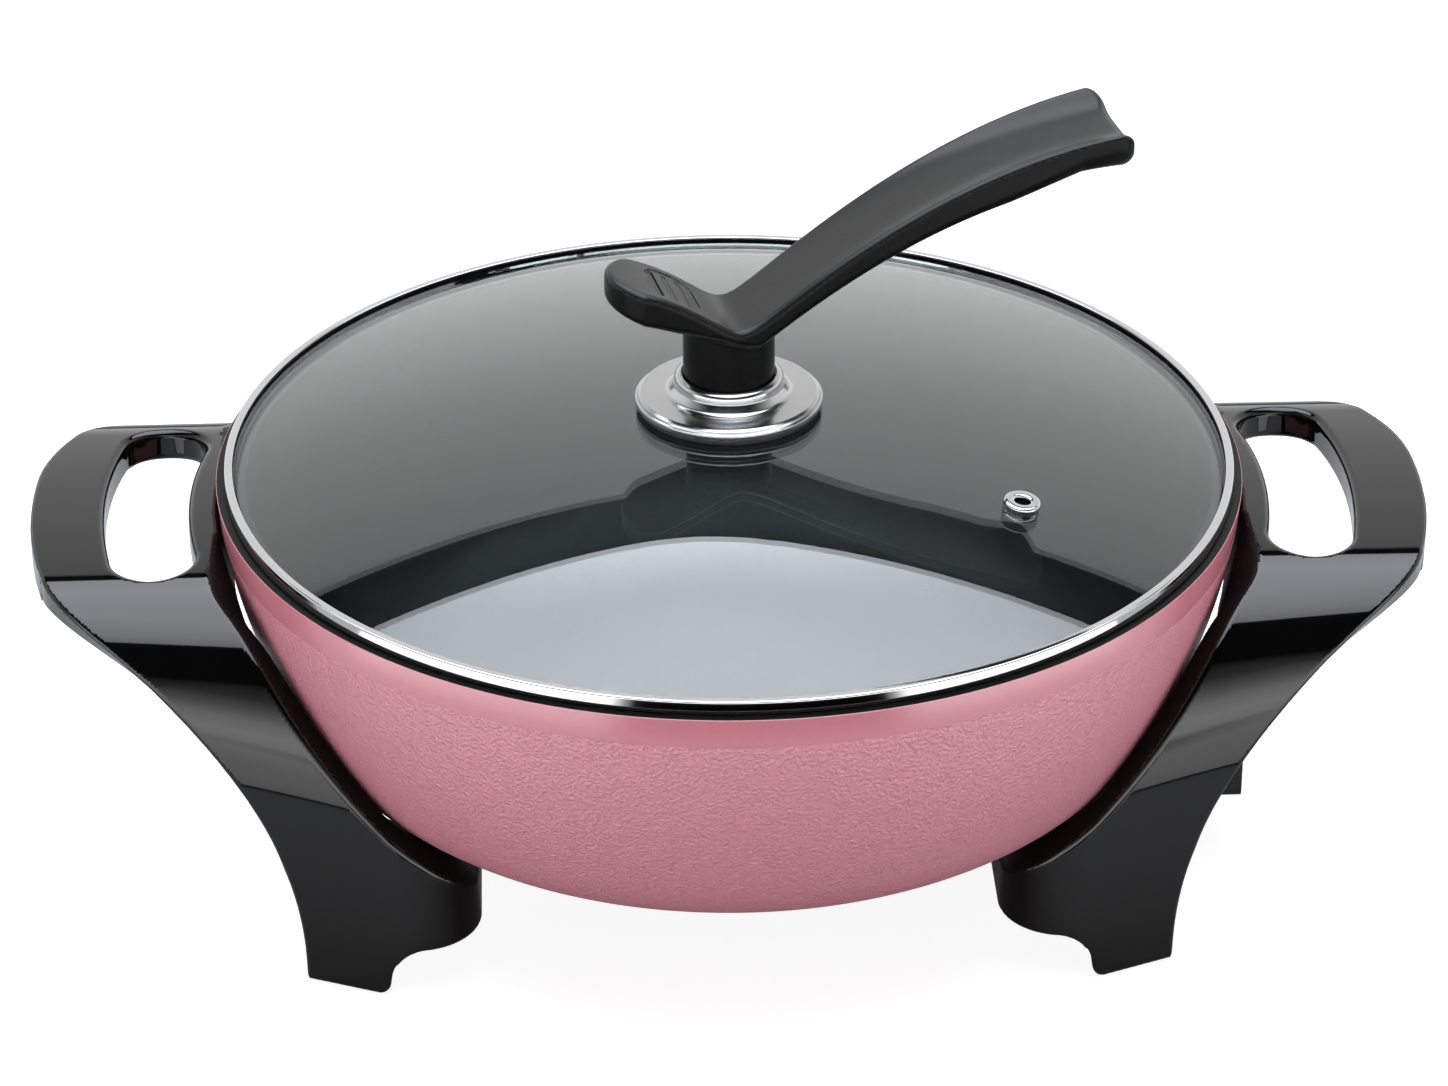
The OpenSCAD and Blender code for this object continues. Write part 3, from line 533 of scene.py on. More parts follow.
def build_terminal_block(paint):
    """Block under the pan, with grooves for the element's ends and bores for probe sleeve and screws."""
    low, high = (BLOCK_X[0], -BLOCK_HALF, BLOCK_Z), (BLOCK_X[1], BLOCK_HALF, BASE_Z + BLOCK_RISE)

    def block(x, y, z):
        y = np.abs(y)
        body = box_field(x, y, z, low, high, BLOCK_ROUND)
        body = np.maximum(body, PLAY - pan_distance(np.hypot(x, y), z))
        groove = np.where(z > TUBE_Z, np.abs(y - PIN_Y), np.hypot(y - PIN_Y, z - TUBE_Z)) - TAIL_R
        bore = np.maximum(np.hypot(y, z - SLEEVE_Z) - SLEEVE_R, BLOCK_X[0] + SLEEVE_STOP - x)
        screw = np.maximum(np.hypot(y - FIX_Y, z - FIX_Z) - FIX_R, BLOCK_X[1] - FIX_DEEP - x)
        hold = np.hypot(x - HOLD_X, y - FIX_Y) - HOLD_R
        cut = np.minimum(np.minimum(groove, bore), np.minimum(screw, hold))
        return round_max(body, -cut, BORE_ROUND)

    points, normals, faces = surface_net(block, *BLOCK_NET)
    terminal = make_mesh("element_block", points, faces, [paint], normals)
    attach(terminal, "base", "block_metal", "terminal_block")


# Brackets

def arch():
    """Arcs of the arch seen from the side, from its top down: centre (q, z), radius, first and last tilt."""
    top, shoulder = np.radians((TOP_TILT, SHOULDER_TILT))
    top_r = TOP_HALF / math.sin(top)
    shoulder_z = GRIP_Z - top_r * (1 - math.cos(top))
    shoulder_at = (TOP_HALF - SHOULDER_R * math.sin(top), shoulder_z - SHOULDER_R * math.cos(top))
    haunch_q = TOP_HALF + SHOULDER_R * (math.sin(shoulder) - math.sin(top))
    haunch_z = shoulder_z - SHOULDER_R * (math.cos(top) - math.cos(shoulder))
    haunch_at = (haunch_q - HAUNCH_R * math.sin(shoulder), haunch_z - HAUNCH_R * math.cos(shoulder))
    return (((0.0, GRIP_Z - top_r), top_r, -1.0, TOP_TILT),
            (shoulder_at, SHOULDER_R, TOP_TILT, SHOULDER_TILT),
            (haunch_at, HAUNCH_R, SHOULDER_TILT, 90.0))


def face_profile(q, z):
    """Distance in front of the arch seen from the side, and the arch's tilt there in degrees."""
    arcs = arch()
    (leg_q, leg_z), leg_r = arcs[-1][:2]
    distance = np.where(z < leg_z, q - (leg_q + leg_r), DEEP)
    tilt = np.full(q.shape, 90.0)
    for centre, r, start, end in arcs:
        angle = np.degrees(np.arctan2(q - centre[0], z - centre[1]))
        here = (angle >= start) & (angle < end)
        distance = np.where(here, np.hypot(q - centre[0], z - centre[1]) - r, distance)
        tilt = np.where(here, angle, tilt)
    return distance, np.maximum(tilt, 0.0)


def face_depth(z):
    """Depth of the leg face at height z."""
    (leg_q, leg_z), leg_r = arch()[-1][:2]
    rise = np.clip((z - leg_z) / leg_r, 0, 0.99)
    return leg_q + leg_r * np.sqrt(1 - rise ** 2)


def bracket_field(x, y, z):
    """Right bracket: loop, shoulder, haunch and twisted leg in one sheet, with the shelf for its screws."""
    corner_share = np.where(y > 0, 1.0, FRONT_SHARE)
    y = np.abs(y)
    shoulder_z = GRIP_Z - TOP_HALF * math.tan(math.radians(TOP_TILT) / 2)
    turn = FOOT_TURN * np.maximum(0, 1 - z / shoulder_z) ** TURN_POWER
    lean = np.sqrt(1 + turn ** 2)
    distance, tilt = face_profile(y + turn * (x - FOOT_X), z)
    distance = distance / lean
    # Leg face, rounded corner, wall back under the pan
    leg_q = np.minimum(face_depth(z), face_depth(np.zeros(1))[0])
    knee_y = leg_q + turn * (FOOT_X - CORNER_X)
    centre_x, centre_y = CORNER_X - CORNER_R * turn / lean, knee_y - CORNER_R / lean
    start = np.arctan2(1.0, turn)
    angle = np.arctan2(y - centre_y, x - centre_x)
    low = z < BASE_Z + HEEL_R
    round_part = low & (angle >= start)
    wall_part = low & (x < centre_x) & (y < centre_y)
    u = np.where(wall_part, CORNER_R * (math.pi - start) + centre_y - y,
                 np.where(round_part, CORNER_R * (angle - start), (CORNER_X - x) * lean))
    distance = np.where(wall_part, centre_x - x - CORNER_R,
                        np.where(round_part, np.hypot(x - centre_x, y - centre_y) - CORNER_R, distance))
    thick = GRIP_T + (LEG_T - GRIP_T) * np.clip((tilt - TOP_TILT) / (90 - TOP_TILT), 0, 1)
    thick = np.where(wall_part | round_part, LEG_T, thick)
    # Inner edge: clear of the pan, with a rib behind it
    ease = EDGE_EASE * np.exp(-((y - EASE_Y) / EASE_SPREAD) ** 2)
    clear = PAN_GAP + ease - pan_distance(np.hypot(x, y), z)
    deepening = np.clip((EDGE_RIB_Z - z) / EDGE_RIB_FALL, 0, 1)
    rib = EDGE_RIB_T[0] + (EDGE_RIB_T[1] - EDGE_RIB_T[0]) * deepening
    rib = rib * np.clip(1 + clear / EDGE_RIB_W, 0, 1)
    thick = thick + np.where(wall_part, 0, rib)
    slab = np.maximum(distance, -distance - thick)
    # Outer edge: round over the loop, sweeping in towards the foot
    face_z = np.clip(z - distance * np.cos(np.radians(tilt)), 0, shoulder_z)
    top_x = math.sqrt(GRIP_R ** 2 - TOP_HALF ** 2)
    share = face_z / shoulder_z
    sweep = FOOT_OUT_X + (top_x - FOOT_OUT_X) * share ** SWEEP_POWER
    slope = (top_x - FOOT_OUT_X) * SWEEP_POWER / shoulder_z * share ** (SWEEP_POWER - 1)
    slope = slope * np.sin(np.radians(tilt))
    edge = np.where(tilt < TOP_TILT, np.hypot(x, y) - GRIP_R, (x - sweep) / np.sqrt(1 + slope ** 2))
    along = np.clip((y - CORNER_Y) / CORNER_SPAN, 0, CORNER_MOST) ** 2
    edge = edge + CORNER_EASE * corner_share * along * np.clip((z - CORNER_Z) / CORNER_RISE, 0, 1)
    edge = round_max(edge, clear, INNER_ROUND)
    # Bevel along the inner edge, running out beside the finger hole
    bevel_w = BEVEL_W * np.clip((y - TOP_HALF / 2) / TOP_HALF * 2, 0, 1)
    bevel = (clear + bevel_w * (1 + distance / BEVEL_DEPTH)) / np.sqrt(1 + (bevel_w / BEVEL_DEPTH) ** 2)
    edge = np.maximum(edge, bevel)
    # Lower edge: foot, fillet and sill
    slant = u + FOOT_SLANT * (SILL_Z - z)
    inner = (slant < FILLET_R) & (z > SILL_Z - FILLET_R)
    fillet = np.hypot(slant - FILLET_R, z - SILL_Z + FILLET_R) - FILLET_R
    cut = np.where(inner, fillet, np.maximum(-slant, z - SILL_Z))
    edge = np.maximum(edge, round_max(-cut, -z, TOE_ROUND))
    # Finger hole
    hole_turn = math.asin((HOLE_HALF_L - HOLE_HALF_W) / HOLE_MID_R)
    end = (HOLE_MID_R * math.cos(hole_turn), HOLE_MID_R * math.sin(hole_turn))
    hole = np.where(np.arctan2(y, x) < hole_turn, np.abs(np.hypot(x, y) - HOLE_MID_R),
                    np.hypot(x - end[0], y - end[1]))
    form = round_max(slab, edge, EDGE_ROUND)
    form = round_max(form, np.where(z > HOLE_LOW, HOLE_HALF_W - hole, DEEP), HOLE_ROUND)
    # Shelf under the pan's boss
    shelf = box_field(x, y, z, SHELF_LOW, SHELF_HIGH, SHELF_ROUND)
    shelf = np.maximum(shelf, BOLT_R + BOLT_PLAY - np.hypot(x - BOSS_X, y - BOSS_Y))
    return round_min(form, shelf, SHELF_FILLET)


def faces_pan(points, normals, faces):
    """Marks the faces of a bracket's inner edge, which look at the pan from close by and get a duller black
    as painted shade.
    """
    def gap(x, y, z):
        return pan_distance(np.hypot(x, y), z)

    middle, way = points[faces].mean(axis=1), normals[faces].mean(axis=1)
    towards = -(gradient(gap, middle) * way).sum(axis=1)
    near = gap(*middle.T) < PAN_GAP + EDGE_EASE + BEVEL_W
    return near & (towards > np.where(np.abs(middle[:, 1]) < TOP_HALF / 2, *TOWARDS_PAN))


def build_brackets(paint, gap_shade_paint):
    """Right bracket and its mirror image; the inner edges get a duller, less reflective copy of its black as
    painted shade in the gap by the pan.
    """
    surface = surface_net(bracket_field, *BRACKET_NET)
    for side, (points, normals, faces) in (("right", surface), ("left", mirrored(*surface))):
        marks = faces_pan(points, normals, faces)
        bracket = make_mesh(side + "_loop_and_legs", points, faces, [paint, gap_shade_paint], normals, marks=marks)
        attach(bracket, "base", "bracket_plastic", side + "_bracket")


# Lid

def dome_height(x, y):
    """Height of the glass's upper face."""
    return DOME_TOP - DOME_R + np.sqrt(DOME_R ** 2 - x ** 2 - y ** 2)


def vent_place():
    """Middle of the steam vent, seen from above."""
    turn = math.radians(VENT_TURN)
    return VENT_DIST * math.cos(turn), VENT_DIST * math.sin(turn)


def circle(centre, r, count):
    """Points round a circle."""
    angles = [2 * math.pi * i / count for i in range(count)]
    return [(centre[0] + r * math.cos(t), centre[1] + r * math.sin(t)) for t in angles]


def build_glass(paint):
    """Dome with its two holes: a flat net of triangles lifted onto the sphere, twice."""
    holes = (((0.0, 0.0), GLASS_HOLE_R), (vent_place(), VENT_BARREL_R + VENT_PLAY))
    loops = [circle((0, 0), GLASS_R, RIM_SIDES)] + [circle(c, r, HOLE_SIDES) for c, r in holes]
    rows = np.arange(-GLASS_R, GLASS_R, GLASS_STEP * ROW_SHARE)
    grid = [(x + (GLASS_STEP / 2 if row % 2 else 0), y) for row, y in enumerate(rows)
            for x in np.arange(-GLASS_R, GLASS_R, GLASS_STEP)]
    free = [p for p in grid if math.hypot(*p) < GLASS_R - RIM_CLEAR
            and all(math.dist(p, c) > r + HOLE_CLEAR for c, r in holes)]
    verts, edges = [], []
    for loop in loops:
        first = len(verts)
        verts += loop
        edges += [(first + i, first + (i + 1) % len(loop)) for i in range(len(loop))]
    verts += free
    flat, _, tris = delaunay_2d_cdt([Vector(v) for v in verts], edges, [], 0, 1e-6)[:3]
    flat = np.array([tuple(v) for v in flat])
    tris = np.array([t for t in tris if len(t) == 3])
    middle = flat[tris].mean(axis=1)
    keep = np.all([np.hypot(*(middle - np.array(c)).T) > r * 0.999 for c, r in holes], axis=0)
    tris = tris[keep]
    top = np.column_stack([flat, dome_height(*flat.T)])
    centre = np.array((0, 0, DOME_TOP - DOME_R))
    below = centre + (top - centre) * (DOME_R - GLASS_T) / DOME_R
    out = (top - centre) / DOME_R
    n = len(top)
    walls = []
    first = 0
    for k, loop in enumerate(loops):
        for i in range(len(loop)):
            a, b = first + i, first + (i + 1) % len(loop)
            wall = [a + n, b + n, b, a]
            walls.append(wall if k == 0 else wall[::-1])
        first += len(loop)
    faces = tris.tolist() + (tris[:, ::-1] + n).tolist() + walls
    glass = make_mesh("lid_dome", np.concatenate([top, below]), faces, [paint])
    mesh = glass.data
    normals = []
    for face in mesh.polygons:
        for v in face.vertices:
            if len(face.vertices) == 3:
                normals.append(tuple(out[v] if v < n else -out[v - n]))
            else:
                normals.append(tuple(face.normal))
    mesh.normals_split_custom_set(normals)
    attach(glass, "lid", "lid_glass", "lid_glass")


def build_lid_band(paint, channel_shade):
    """Steel channel round the glass; its inner faces are dull black, painted shade in the channel."""
    lip_r = LID_R - BAND_LIP
    corners = [(lip_r, BAND_Z, 0.25), (LID_R, BAND_Z, BAND_ROUND), (LID_R, SKIRT_Z, 0.2),
               (SKIRT_R, SKIRT_Z, 0.4), (SKIRT_R, BAND_TOP, BAND_ROUND), (HEM_R, BAND_TOP, 0.3),
               (HEM_R, BAND_TOP - BAND_T, 0.1),
               (LID_R - BAND_T, BAND_TOP - BAND_T, 0.9), (LID_R - BAND_T, BAND_Z + BAND_T, 0.9),
               (lip_r, BAND_Z + BAND_T, 0.1)]
    outline = rounded(corners, 8)
    points, faces, places = revolve(outline, BAND_SIDES, True)
    # Painted shade, dull black, from the hem's lower corner round the inside to the first corner
    corner = len(outline) // len(corners)
    marks = [int(i >= 6.5 * corner or i < 0.5 * corner) for i in places]
    band = make_mesh("lid_rim", points, faces, [paint, channel_shade], sharp=STEEL_SHARP, marks=marks)
    attach(band, "lid", "polished_steel", "lid_band")


def build_plate(paint):
    """Polished plate: stepped rim, level flange, flare and a bead round the foot of the neck."""
    flange_z, bead_z = PLATE_Z + FLANGE_H, PLATE_Z + HUB_H
    outline = rounded([
        (PLATE_R - 2.6, PLATE_Z, 0.2), (PLATE_R, PLATE_Z, 0.4), (PLATE_R, PLATE_Z + 1.7, 0.5),
        (PLATE_R - 0.7, PLATE_Z + 2.0, 0.15), (PLATE_R - 0.9, PLATE_Z + 2.7, 0.3),
        (PLATE_R - 2.0, flange_z, 1.0),
        (HUB_R + 4.4, flange_z, 2.6), (HUB_R + 2.4, bead_z - 3.4, 0.8), (HUB_R + 2.2, bead_z, 2.0),
        (HUB_R, bead_z, 0.2), (HUB_R, HUB_FLOOR_Z, 0.2), (GLASS_HOLE_R, HUB_FLOOR_Z, 0),
        (GLASS_HOLE_R, HUB_FLOOR_Z - PLATE_T, 0), (HUB_R + PLATE_T, HUB_FLOOR_Z - PLATE_T, 0.3),
        (HUB_R + 4.4, flange_z - PLATE_T, 0.8), (PLATE_R - 2.6, flange_z - PLATE_T, 0.3)])
    points, faces, _ = revolve(outline, PLATE_SIDES, True)
    plate = make_mesh("handle_plate", points, faces, [paint], sharp=STEEL_SHARP)
    attach(plate, "lid", "polished_steel", "knob_plate")


def build_vent(paint):
    """Eyelet of the steam vent, square to the dome. Its heights count from the glass."""
    curl_r, curl_z = VENT_BARREL_R + VENT_CURL, VENT_FOOT + VENT_CURL
    outline = rounded([(VENT_BORE_R, VENT_FOOT, 0.2), (curl_r, VENT_FOOT, 0.2), (curl_r, curl_z, 0.2),
                       (VENT_BARREL_R, curl_z, 0), (VENT_BARREL_R, VENT_HEAD, 0),
                       (VENT_FLANGE_R, VENT_HEAD, 0.2), (VENT_FLANGE_R, VENT_TOP, 0.9),
                       (VENT_BORE_R, VENT_TOP, 0.9)])
    points, faces, _ = revolve(outline, VENT_SIDES, True)
    x, y = vent_place()
    turn = Matrix.Rotation(math.radians(VENT_TURN), 4, "Z")
    tilt = Matrix.Rotation(math.asin(VENT_DIST / DOME_R), 4, "Y")
    place = Matrix.Translation((x, y, float(dome_height(x, y)))) @ turn @ tilt
    points = np.array([tuple(place @ Vector(p)) for p in points])
    vent = make_mesh("vent_ring", points, faces, [paint], sharp=VENT_SHARP)
    attach(vent, "lid", "polished_steel", "vent_eyelet")


# Lid handle

def soft_max(a, b, k):
    """Larger of two curves, eased where they cross."""
    return (a + b) / 2 + np.sqrt(((a - b) / 2) ** 2 + k * k)


def side_line(s, terms):
    """Height of a side line at a place s along the handle."""
    return V_Z + terms[0] + terms[1] * s + terms[2] * s * s


def handle_top(s):
    """V of the handle's upper side."""
    return soft_max(side_line(s, THUMB_TOP), side_line(s, ARM_TOP), TOP_BLEND) - TOP_BLEND / 2


def handle_low(s):
    """V of the handle's underside."""
    return soft_max(side_line(s, THUMB_LOW), side_line(s, ARM_LOW), LOW_BLEND) - LOW_BLEND / 2


def thumb_rest(s, n, top):
    """Shallow rounded recess with three grooves across it."""
    outline = round_max(np.abs(s - sum(REST_S) / 2) - (REST_S[1] - REST_S[0]) / 2,
                        np.abs(n - sum(REST_N) / 2) - (REST_N[1] - REST_N[0]) / 2, REST_CORNER)
    cut = np.maximum(outline, -top - REST_DEEP)
    for groove_s in GROOVES_S:
        ends = np.maximum(GROOVE_N[0] - n, n - GROOVE_N[1])
        slot = round_max(np.abs(s - groove_s) - GROOVE_HALF, ends, GROOVE_ROUND)
        cut = np.minimum(cut, np.maximum(slot, -top - GROOVE_DEEP))
    return cut


def handle_field(s, n, z):
    """Lid handle along s and across n: V-shaped bar with a trough towards its tip, on a round neck."""
    along = np.clip(s / ARM_LEN, 0, 1)
    half = (THUMB_W + (TIP_W - THUMB_W) * along ** SPREAD_POWER) / 2
    sag = TROUGH * along ** 2 * (RIM_SHARE - np.minimum(np.abs(n) / half, 1) ** 4)
    step = 0.1
    rise = (handle_top(s + step) - handle_top(s - step)) / (2 * step)
    fall = (handle_low(s + step) - handle_low(s - step)) / (2 * step)
    top = (z - handle_top(s) + sag) / np.sqrt(1 + rise ** 2)
    taper = TIP_TAPER * np.clip((s - TIP_FROM) / TIP_OVER, 0, 1) ** SPREAD_POWER
    low = (handle_low(s) - sag + taper - z) / np.sqrt(1 + fall ** 2)
    bow_s = THUMB_BOW_R - THUMB_LEN
    bow = np.where(s < bow_s, np.hypot(s - bow_s, n) - THUMB_BOW_R, DEEP)
    plan = round_max(np.maximum(np.abs(n) - half, bow), s - ARM_LEN, TIP_CORNER)
    body = round_max(np.maximum(top, low), plan, HANDLE_ROUND + TIP_ROUND * along ** 4)
    body = round_max(body, -thumb_rest(s, n, top), REST_ROUND)
    neck_cut = np.maximum(NECK_Z - z, z - (handle_top(s) + handle_low(s)) / 2)
    neck = round_max(np.hypot(s, n) - NECK_R, neck_cut, NECK_ROUND)
    return round_min(body, neck, NECK_FILLET)


def build_handle(paint, shaded_side_paint):
    """Lid handle, turned to its place; its sides and underside get a darker, less glossy copy of its black as
    painted shade.
    """
    points, normals, faces = surface_net(handle_field, *HANDLE_NET)
    turn = np.array(Matrix.Rotation(math.radians(HANDLE_TURN), 3, "Z"))
    # Faces that turn away from above get the painted shade
    marks = normals[faces].mean(axis=1)[:, 2] < SIDE_SLOPE
    handle = make_mesh("v_handle", points @ turn.T, faces, [paint, shaded_side_paint], normals @ turn.T, marks=marks)
    attach(handle, "lid", "handle_plastic", "lid_handle")


# Stage

def emitter(name, points, faces, strengths, colour=(1.0, 1.0, 1.0)):
    """One-sided glowing sheet that the camera doesn't see. strengths gives each point its light."""
    mesh = bpy.data.meshes.new(name)
    mesh.from_pydata(points, [], faces)
    light = mesh.attributes.new("light", "FLOAT", "POINT")
    light.data.foreach_set("value", strengths)
    s = Shader(name)
    glow = s.add("ShaderNodeEmission")
    glow.inputs["Color"].default_value = (*colour, 1.0)
    front = s.math("SUBTRACT", 1.0, s.add("ShaderNodeNewGeometry").outputs["Backfacing"])
    level = s.add("ShaderNodeAttribute", attribute_name="light").outputs["Fac"]
    s.link(s.math("MULTIPLY", front, level), glow.inputs["Strength"])
    mesh.materials.append(s.done(glow.outputs[0]))
    sheet = bpy.data.objects.new(name, mesh)
    bpy.context.scene.collection.objects.link(sheet)
    sheet.visible_camera = False


def box_outline(size, z, share=1.0, count=96):
    """Outline of the soft box, with a blunt point at the rear and round in front.

    share draws it in towards its middle.
    """
    half, rear, front = size
    middle_y = (rear + front) / 2
    side_y = rear - SOFT_BOX_RAKE * (math.hypot(half, SOFT_BOX_BLUNT) - SOFT_BOX_BLUNT)
    points = []
    for t in np.linspace(0, 2 * math.pi, count, endpoint=False):
        x = half * math.cos(t)
        if math.sin(t) > 0:
            y = rear - SOFT_BOX_RAKE * (math.hypot(x, SOFT_BOX_BLUNT) - SOFT_BOX_BLUNT)
        else:
            y = side_y + (side_y - front) * math.sin(t)
        points.append((x * share, middle_y + (y - middle_y) * share, z))
    return points


def build_soft_box():
    """Soft box overhead, dimmer at its sides and brighter at its rear, in a wide black frame."""
    rings = [box_outline(SOFT_BOX_SIZE, SOFT_BOX_Z, share) for share in SOFT_BOX_RINGS]
    n = len(rings[0])
    after = [(i + 1) % n for i in range(n)]
    faces = []
    for outer in range(0, len(rings) * n - n, n):
        inner = outer + n
        faces += [[outer + i, inner + i, inner + after[i], outer + after[i]] for i in range(n)]
    faces += [[inner + n, inner + after[i], inner + i] for i in range(n)]
    middle = (0, (SOFT_BOX_SIZE[1] + SOFT_BOX_SIZE[2]) / 2, SOFT_BOX_Z)
    main, second, side, rear = SOFT_BOX_LIGHT
    rearward = [max(0.0, math.sin(2 * math.pi * i / n)) ** REAR_POWER for i in range(n)]
    strengths = [side + (rear - side) * share for share in rearward] + [second] * n + [main] * (n + 1)
    emitter("soft_box", sum(rings, []) + [middle], faces, strengths, SOFT_BOX_COLOUR)
    frame_ring = box_outline(SOFT_FRAME_SIZE, SOFT_FRAME_Z)
    emitter("soft_box_frame", frame_ring, [list(range(n))[::-1]], [0.0] * n)


def build_front_sheet():
    """Curved sheet of light in front, from the floor up, with a dark gap in the middle of its lower part."""
    turns = np.linspace(-FRONT_HALF_TURN, FRONT_HALF_TURN, FRONT_COLUMNS + 1)
    outside = np.maximum(FRONT_GAP[0] - turns, turns - FRONT_GAP[1])
    shares = np.clip(outside / FRONT_GAP_SOFT + 0.5, 0, 1)
    points, strengths = [], []
    for r, z, light, gap_share in FRONT_ROWS:
        points += [(r * math.sin(t), -r * math.cos(t), z) for t in np.radians(turns)]
        strengths += (light * np.maximum(shares, gap_share)).tolist()
    m = len(turns)
    faces = [[k * m + i + 1, k * m + i, k * m + i + m, k * m + i + m + 1]
             for k in range(len(FRONT_ROWS) - 1) for i in range(FRONT_COLUMNS)]
    emitter("front_sheet", points, faces, strengths)


def build_floor():
    """Pale floor that takes the object's shadow and is lifted to white for the camera and through glass."""
    mesh = bpy.data.meshes.new("floor")
    corners = [(x * TABLE_HALF, y * TABLE_HALF, TABLE_Z) for x, y in ((-1, -1), (1, -1), (1, 1), (-1, 1))]
    mesh.from_pydata(corners, [], [[0, 1, 2, 3]])
    s = Shader("floor_pale")
    shade = s.add("ShaderNodeBsdfDiffuse")
    s.link(s.ramp(s.noise(3.0), grey(TABLE_TONE * 0.98), grey(TABLE_TONE)), shade.inputs["Color"])
    glow = s.add("ShaderNodeEmission")
    path = s.add("ShaderNodeLightPath")
    seen = s.math("MAXIMUM", path.outputs["Is Camera Ray"], path.outputs["Is Transmission Ray"])
    s.link(s.math("MULTIPLY", seen, TABLE_LIFT), glow.inputs["Strength"])
    both = s.add("ShaderNodeAddShader")
    s.link(shade.outputs[0], both.inputs[0])
    s.link(glow.outputs[0], both.inputs[1])
    mesh.materials.append(s.done(both.outputs[0]))
    floor = bpy.data.objects.new("floor", mesh)
    bpy.context.scene.collection.objects.link(floor)


def build_world():
    """Room: light low behind the object, dark above and in front, white to the camera and through glass."""
    world = bpy.data.worlds.new("studio")
    bpy.context.scene.world = world
    world.use_nodes = True
    tree = world.node_tree

    def add(kind, **links):
        node = tree.nodes.new(kind)
        for key, source in links.items():
            tree.links.new(source, node.inputs[key])
        return node

    place = add("ShaderNodeTexCoord").outputs["Generated"]
    way = add("ShaderNodeSeparateXYZ", Vector=place)
    wall_ramp = add("ShaderNodeValToRGB", Fac=way.outputs["Z"])
    walls = wall_ramp.color_ramp
    for end, at, level in zip(walls.elements, (0.0, 1.0), (1.0, 0.0)):
        end.position, end.color = at, (*grey(level), 1.0)
    for sine, level in WALL_LIGHT:
        walls.elements.new(sine).color = (*grey(level), 1.0)
    rear = add("ShaderNodeMapRange", Value=way.outputs["Y"])
    for key, value in zip(("From Min", "From Max", "To Min", "To Max"), (*WALL_FADE, 0.0, WALL_GAIN)):
        rear.inputs[key].default_value = value
    dim = add("ShaderNodeMixRGB", Color1=rear.outputs["Result"], Color2=wall_ramp.outputs["Color"])
    dim.blend_type = "MULTIPLY"
    dim.inputs["Fac"].default_value = 1.0
    path = add("ShaderNodeLightPath")
    direct = add("ShaderNodeMath")
    direct.operation = "MAXIMUM"
    for socket, kind in zip(direct.inputs, ("Is Camera Ray", "Is Transmission Ray")):
        tree.links.new(path.outputs[kind], socket)
    seen = add("ShaderNodeMixRGB", Fac=direct.outputs[0], Color1=dim.outputs["Color"])
    seen.inputs["Color2"].default_value = (1.0, 1.0, 1.0, 1.0)
    tree.links.new(seen.outputs["Color"], tree.nodes["Background"].inputs["Color"])


def build_camera():
    """Camera on a sphere round its aim, shifted and rolled as fitted to the photograph."""
    az, el, roll = (math.radians(v) for v in (VIEW_AZ, VIEW_EL, VIEW_ROLL))
    back = Vector((math.sin(az) * math.cos(el), -math.cos(az) * math.cos(el), math.sin(el)))
    right = Vector((math.cos(az), math.sin(az), 0))
    up = back.cross(right)
    eye = Vector(VIEW_AIM) + back * VIEW_DIST + right * VIEW_SHIFT[0] + up * VIEW_SHIFT[1]
    across = right * math.cos(roll) - up * math.sin(roll)
    upward = right * math.sin(roll) + up * math.cos(roll)
    data = bpy.data.cameras.new("camera")
    data.lens = VIEW_LENS
    data.sensor_width = VIEW_SENSOR
    camera = bpy.data.objects.new("camera", data)
    camera.matrix_world = Matrix.Translation(eye * MM) @ Matrix((across, upward, back)).transposed().to_4x4()
    bpy.context.scene.collection.objects.link(camera)
    bpy.context.scene.camera = camera


def paint_node(node, paint):
    """Gives a CAD node that stays in view its material."""
    node.data.materials.clear()
    node.data.materials.append(paint)


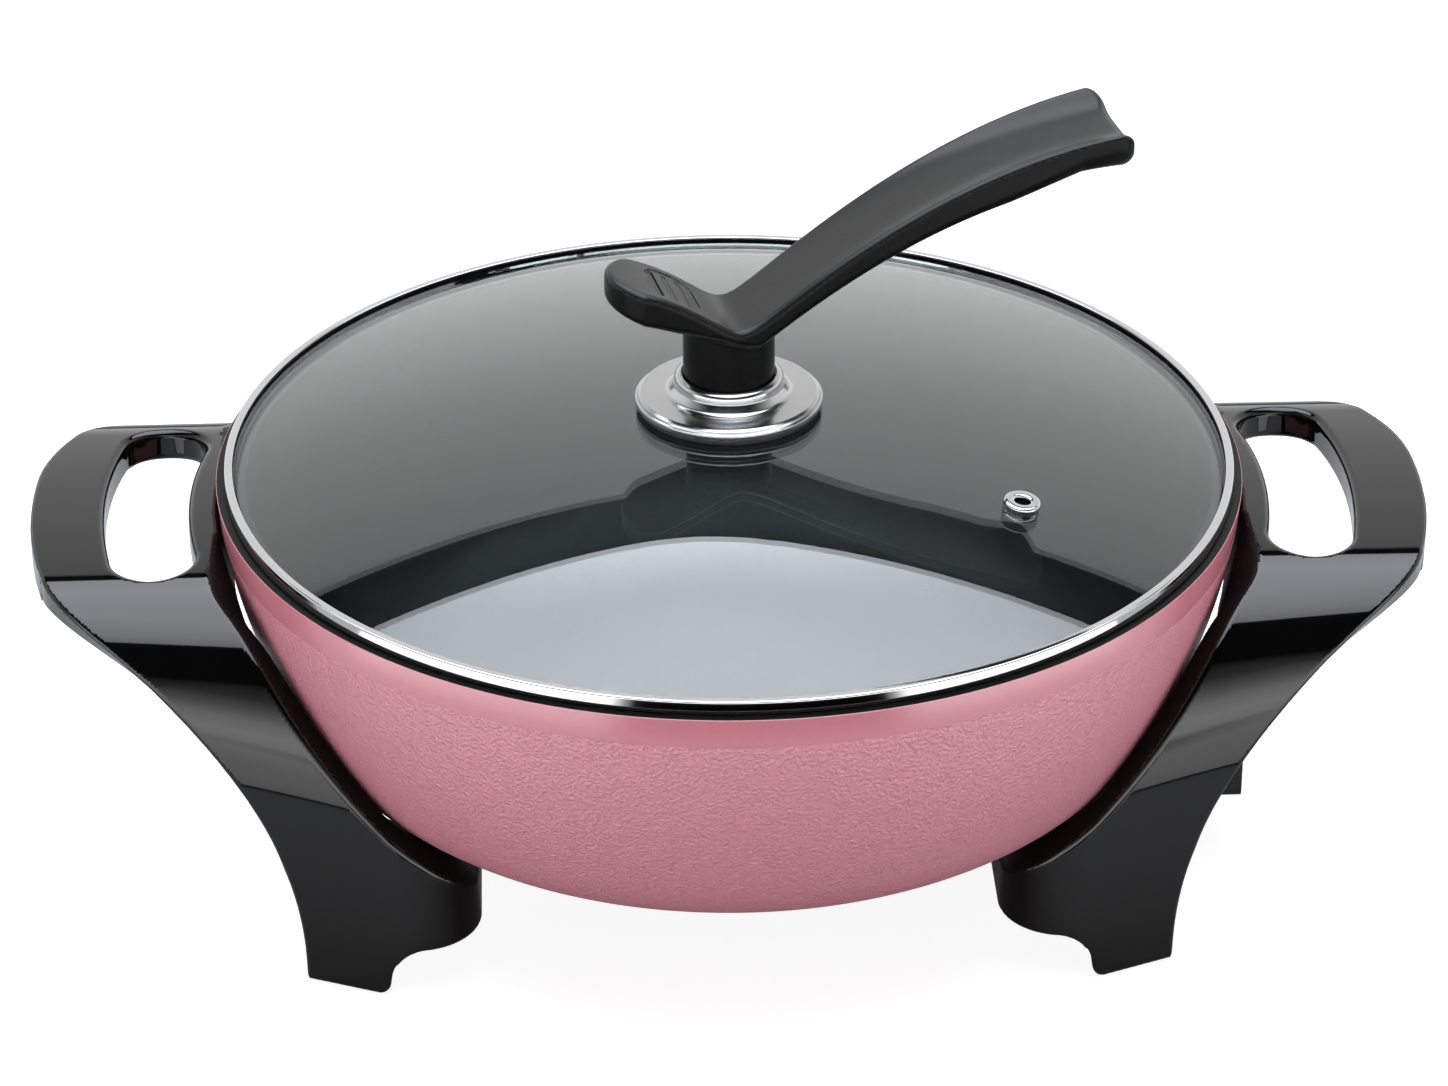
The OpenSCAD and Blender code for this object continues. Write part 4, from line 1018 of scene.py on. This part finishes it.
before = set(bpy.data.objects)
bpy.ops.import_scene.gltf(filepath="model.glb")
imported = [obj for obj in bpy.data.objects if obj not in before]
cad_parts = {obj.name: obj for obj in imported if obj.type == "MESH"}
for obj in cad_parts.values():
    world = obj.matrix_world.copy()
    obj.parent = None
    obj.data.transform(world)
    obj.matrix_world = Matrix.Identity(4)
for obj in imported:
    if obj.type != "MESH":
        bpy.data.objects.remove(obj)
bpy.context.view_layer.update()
bpy.context.scene.view_settings.view_transform = "Standard"

pink = enamel()
coating = speckled("nonstick", grey(0.004), grey(0.007), 500.0, 0.4, 0.2, Specular_IOR_Level=0.15)
gloss_black = speckled("gloss_black", grey(0.0014), grey(0.002), 120.0, 0.05, IOR=1.5)
matte_black = speckled("matte_black", grey(0.003), grey(0.005), 600.0, 0.32, 0.15, Specular_IOR_Level=0.29)
# Darker, less glossy copy of the handle's matte black for its sides and underside: painted shade
painted_shade_black = speckled("painted_shade_black", grey(0.002), grey(0.004), 600.0, 0.34, 0.15, Specular_IOR_Level=0.11)
# Dull black: the pan's black lip, and painted shade on the lid band's inner faces and on the brackets' inner
# edges
dull_black_and_gap_shade = speckled("dull_black_and_gap_shade", grey(0.0014), grey(0.002), 300.0, 0.4, Specular_IOR_Level=0.12)
inlet_black = speckled("inlet_black", grey(0.012), grey(0.018), 400.0, 0.3)
mirror_steel = steel("mirror_steel", 0.08)
satin_steel = steel("satin_steel", 0.19, 0.46)
element_steel = steel("element_steel", 0.4, 0.3)
plain_steel = steel("plain_steel", 0.25, 0.5)
cast_metal = steel("cast_metal", 0.5, 0.4)
ceramic = speckled("ceramic", (0.70, 0.67, 0.60), (0.78, 0.75, 0.68), 250.0, 0.5, 0.1)
rubber = speckled("seal_rubber", grey(0.015), grey(0.025), 400.0, 0.6, 0.1)

build_pan(pink, dull_black_and_gap_shade, coating)
build_pan_fittings(pink)
build_terminal_block(cast_metal)
build_brackets(gloss_black, dull_black_and_gap_shade)
build_glass(clear_glass())
build_lid_band(mirror_steel, dull_black_and_gap_shade)
build_plate(satin_steel)
build_vent(mirror_steel)
build_handle(matte_black, painted_shade_black)
KEPT_NODES = (
    (element_steel, ("heating_element",)),
    (ceramic, ("terminal_insulators",)),
    (inlet_black, ("inlet_shroud",)),
    (plain_steel, ("terminal_pins", "probe_sleeve", "block_screws", "inlet_screws", "left_bracket_screws",
                   "right_bracket_screws", "left_bracket_washers", "right_bracket_washers", "lid_screw",
                   "lid_washer")),
    (rubber, ("vent_seal", "plate_gasket", "inner_gasket")),
)
for paint, names in KEPT_NODES:
    for name in names:
        paint_node(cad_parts[name], paint)
build_soft_box()
build_front_sheet()
build_floor()
build_world()
build_camera()
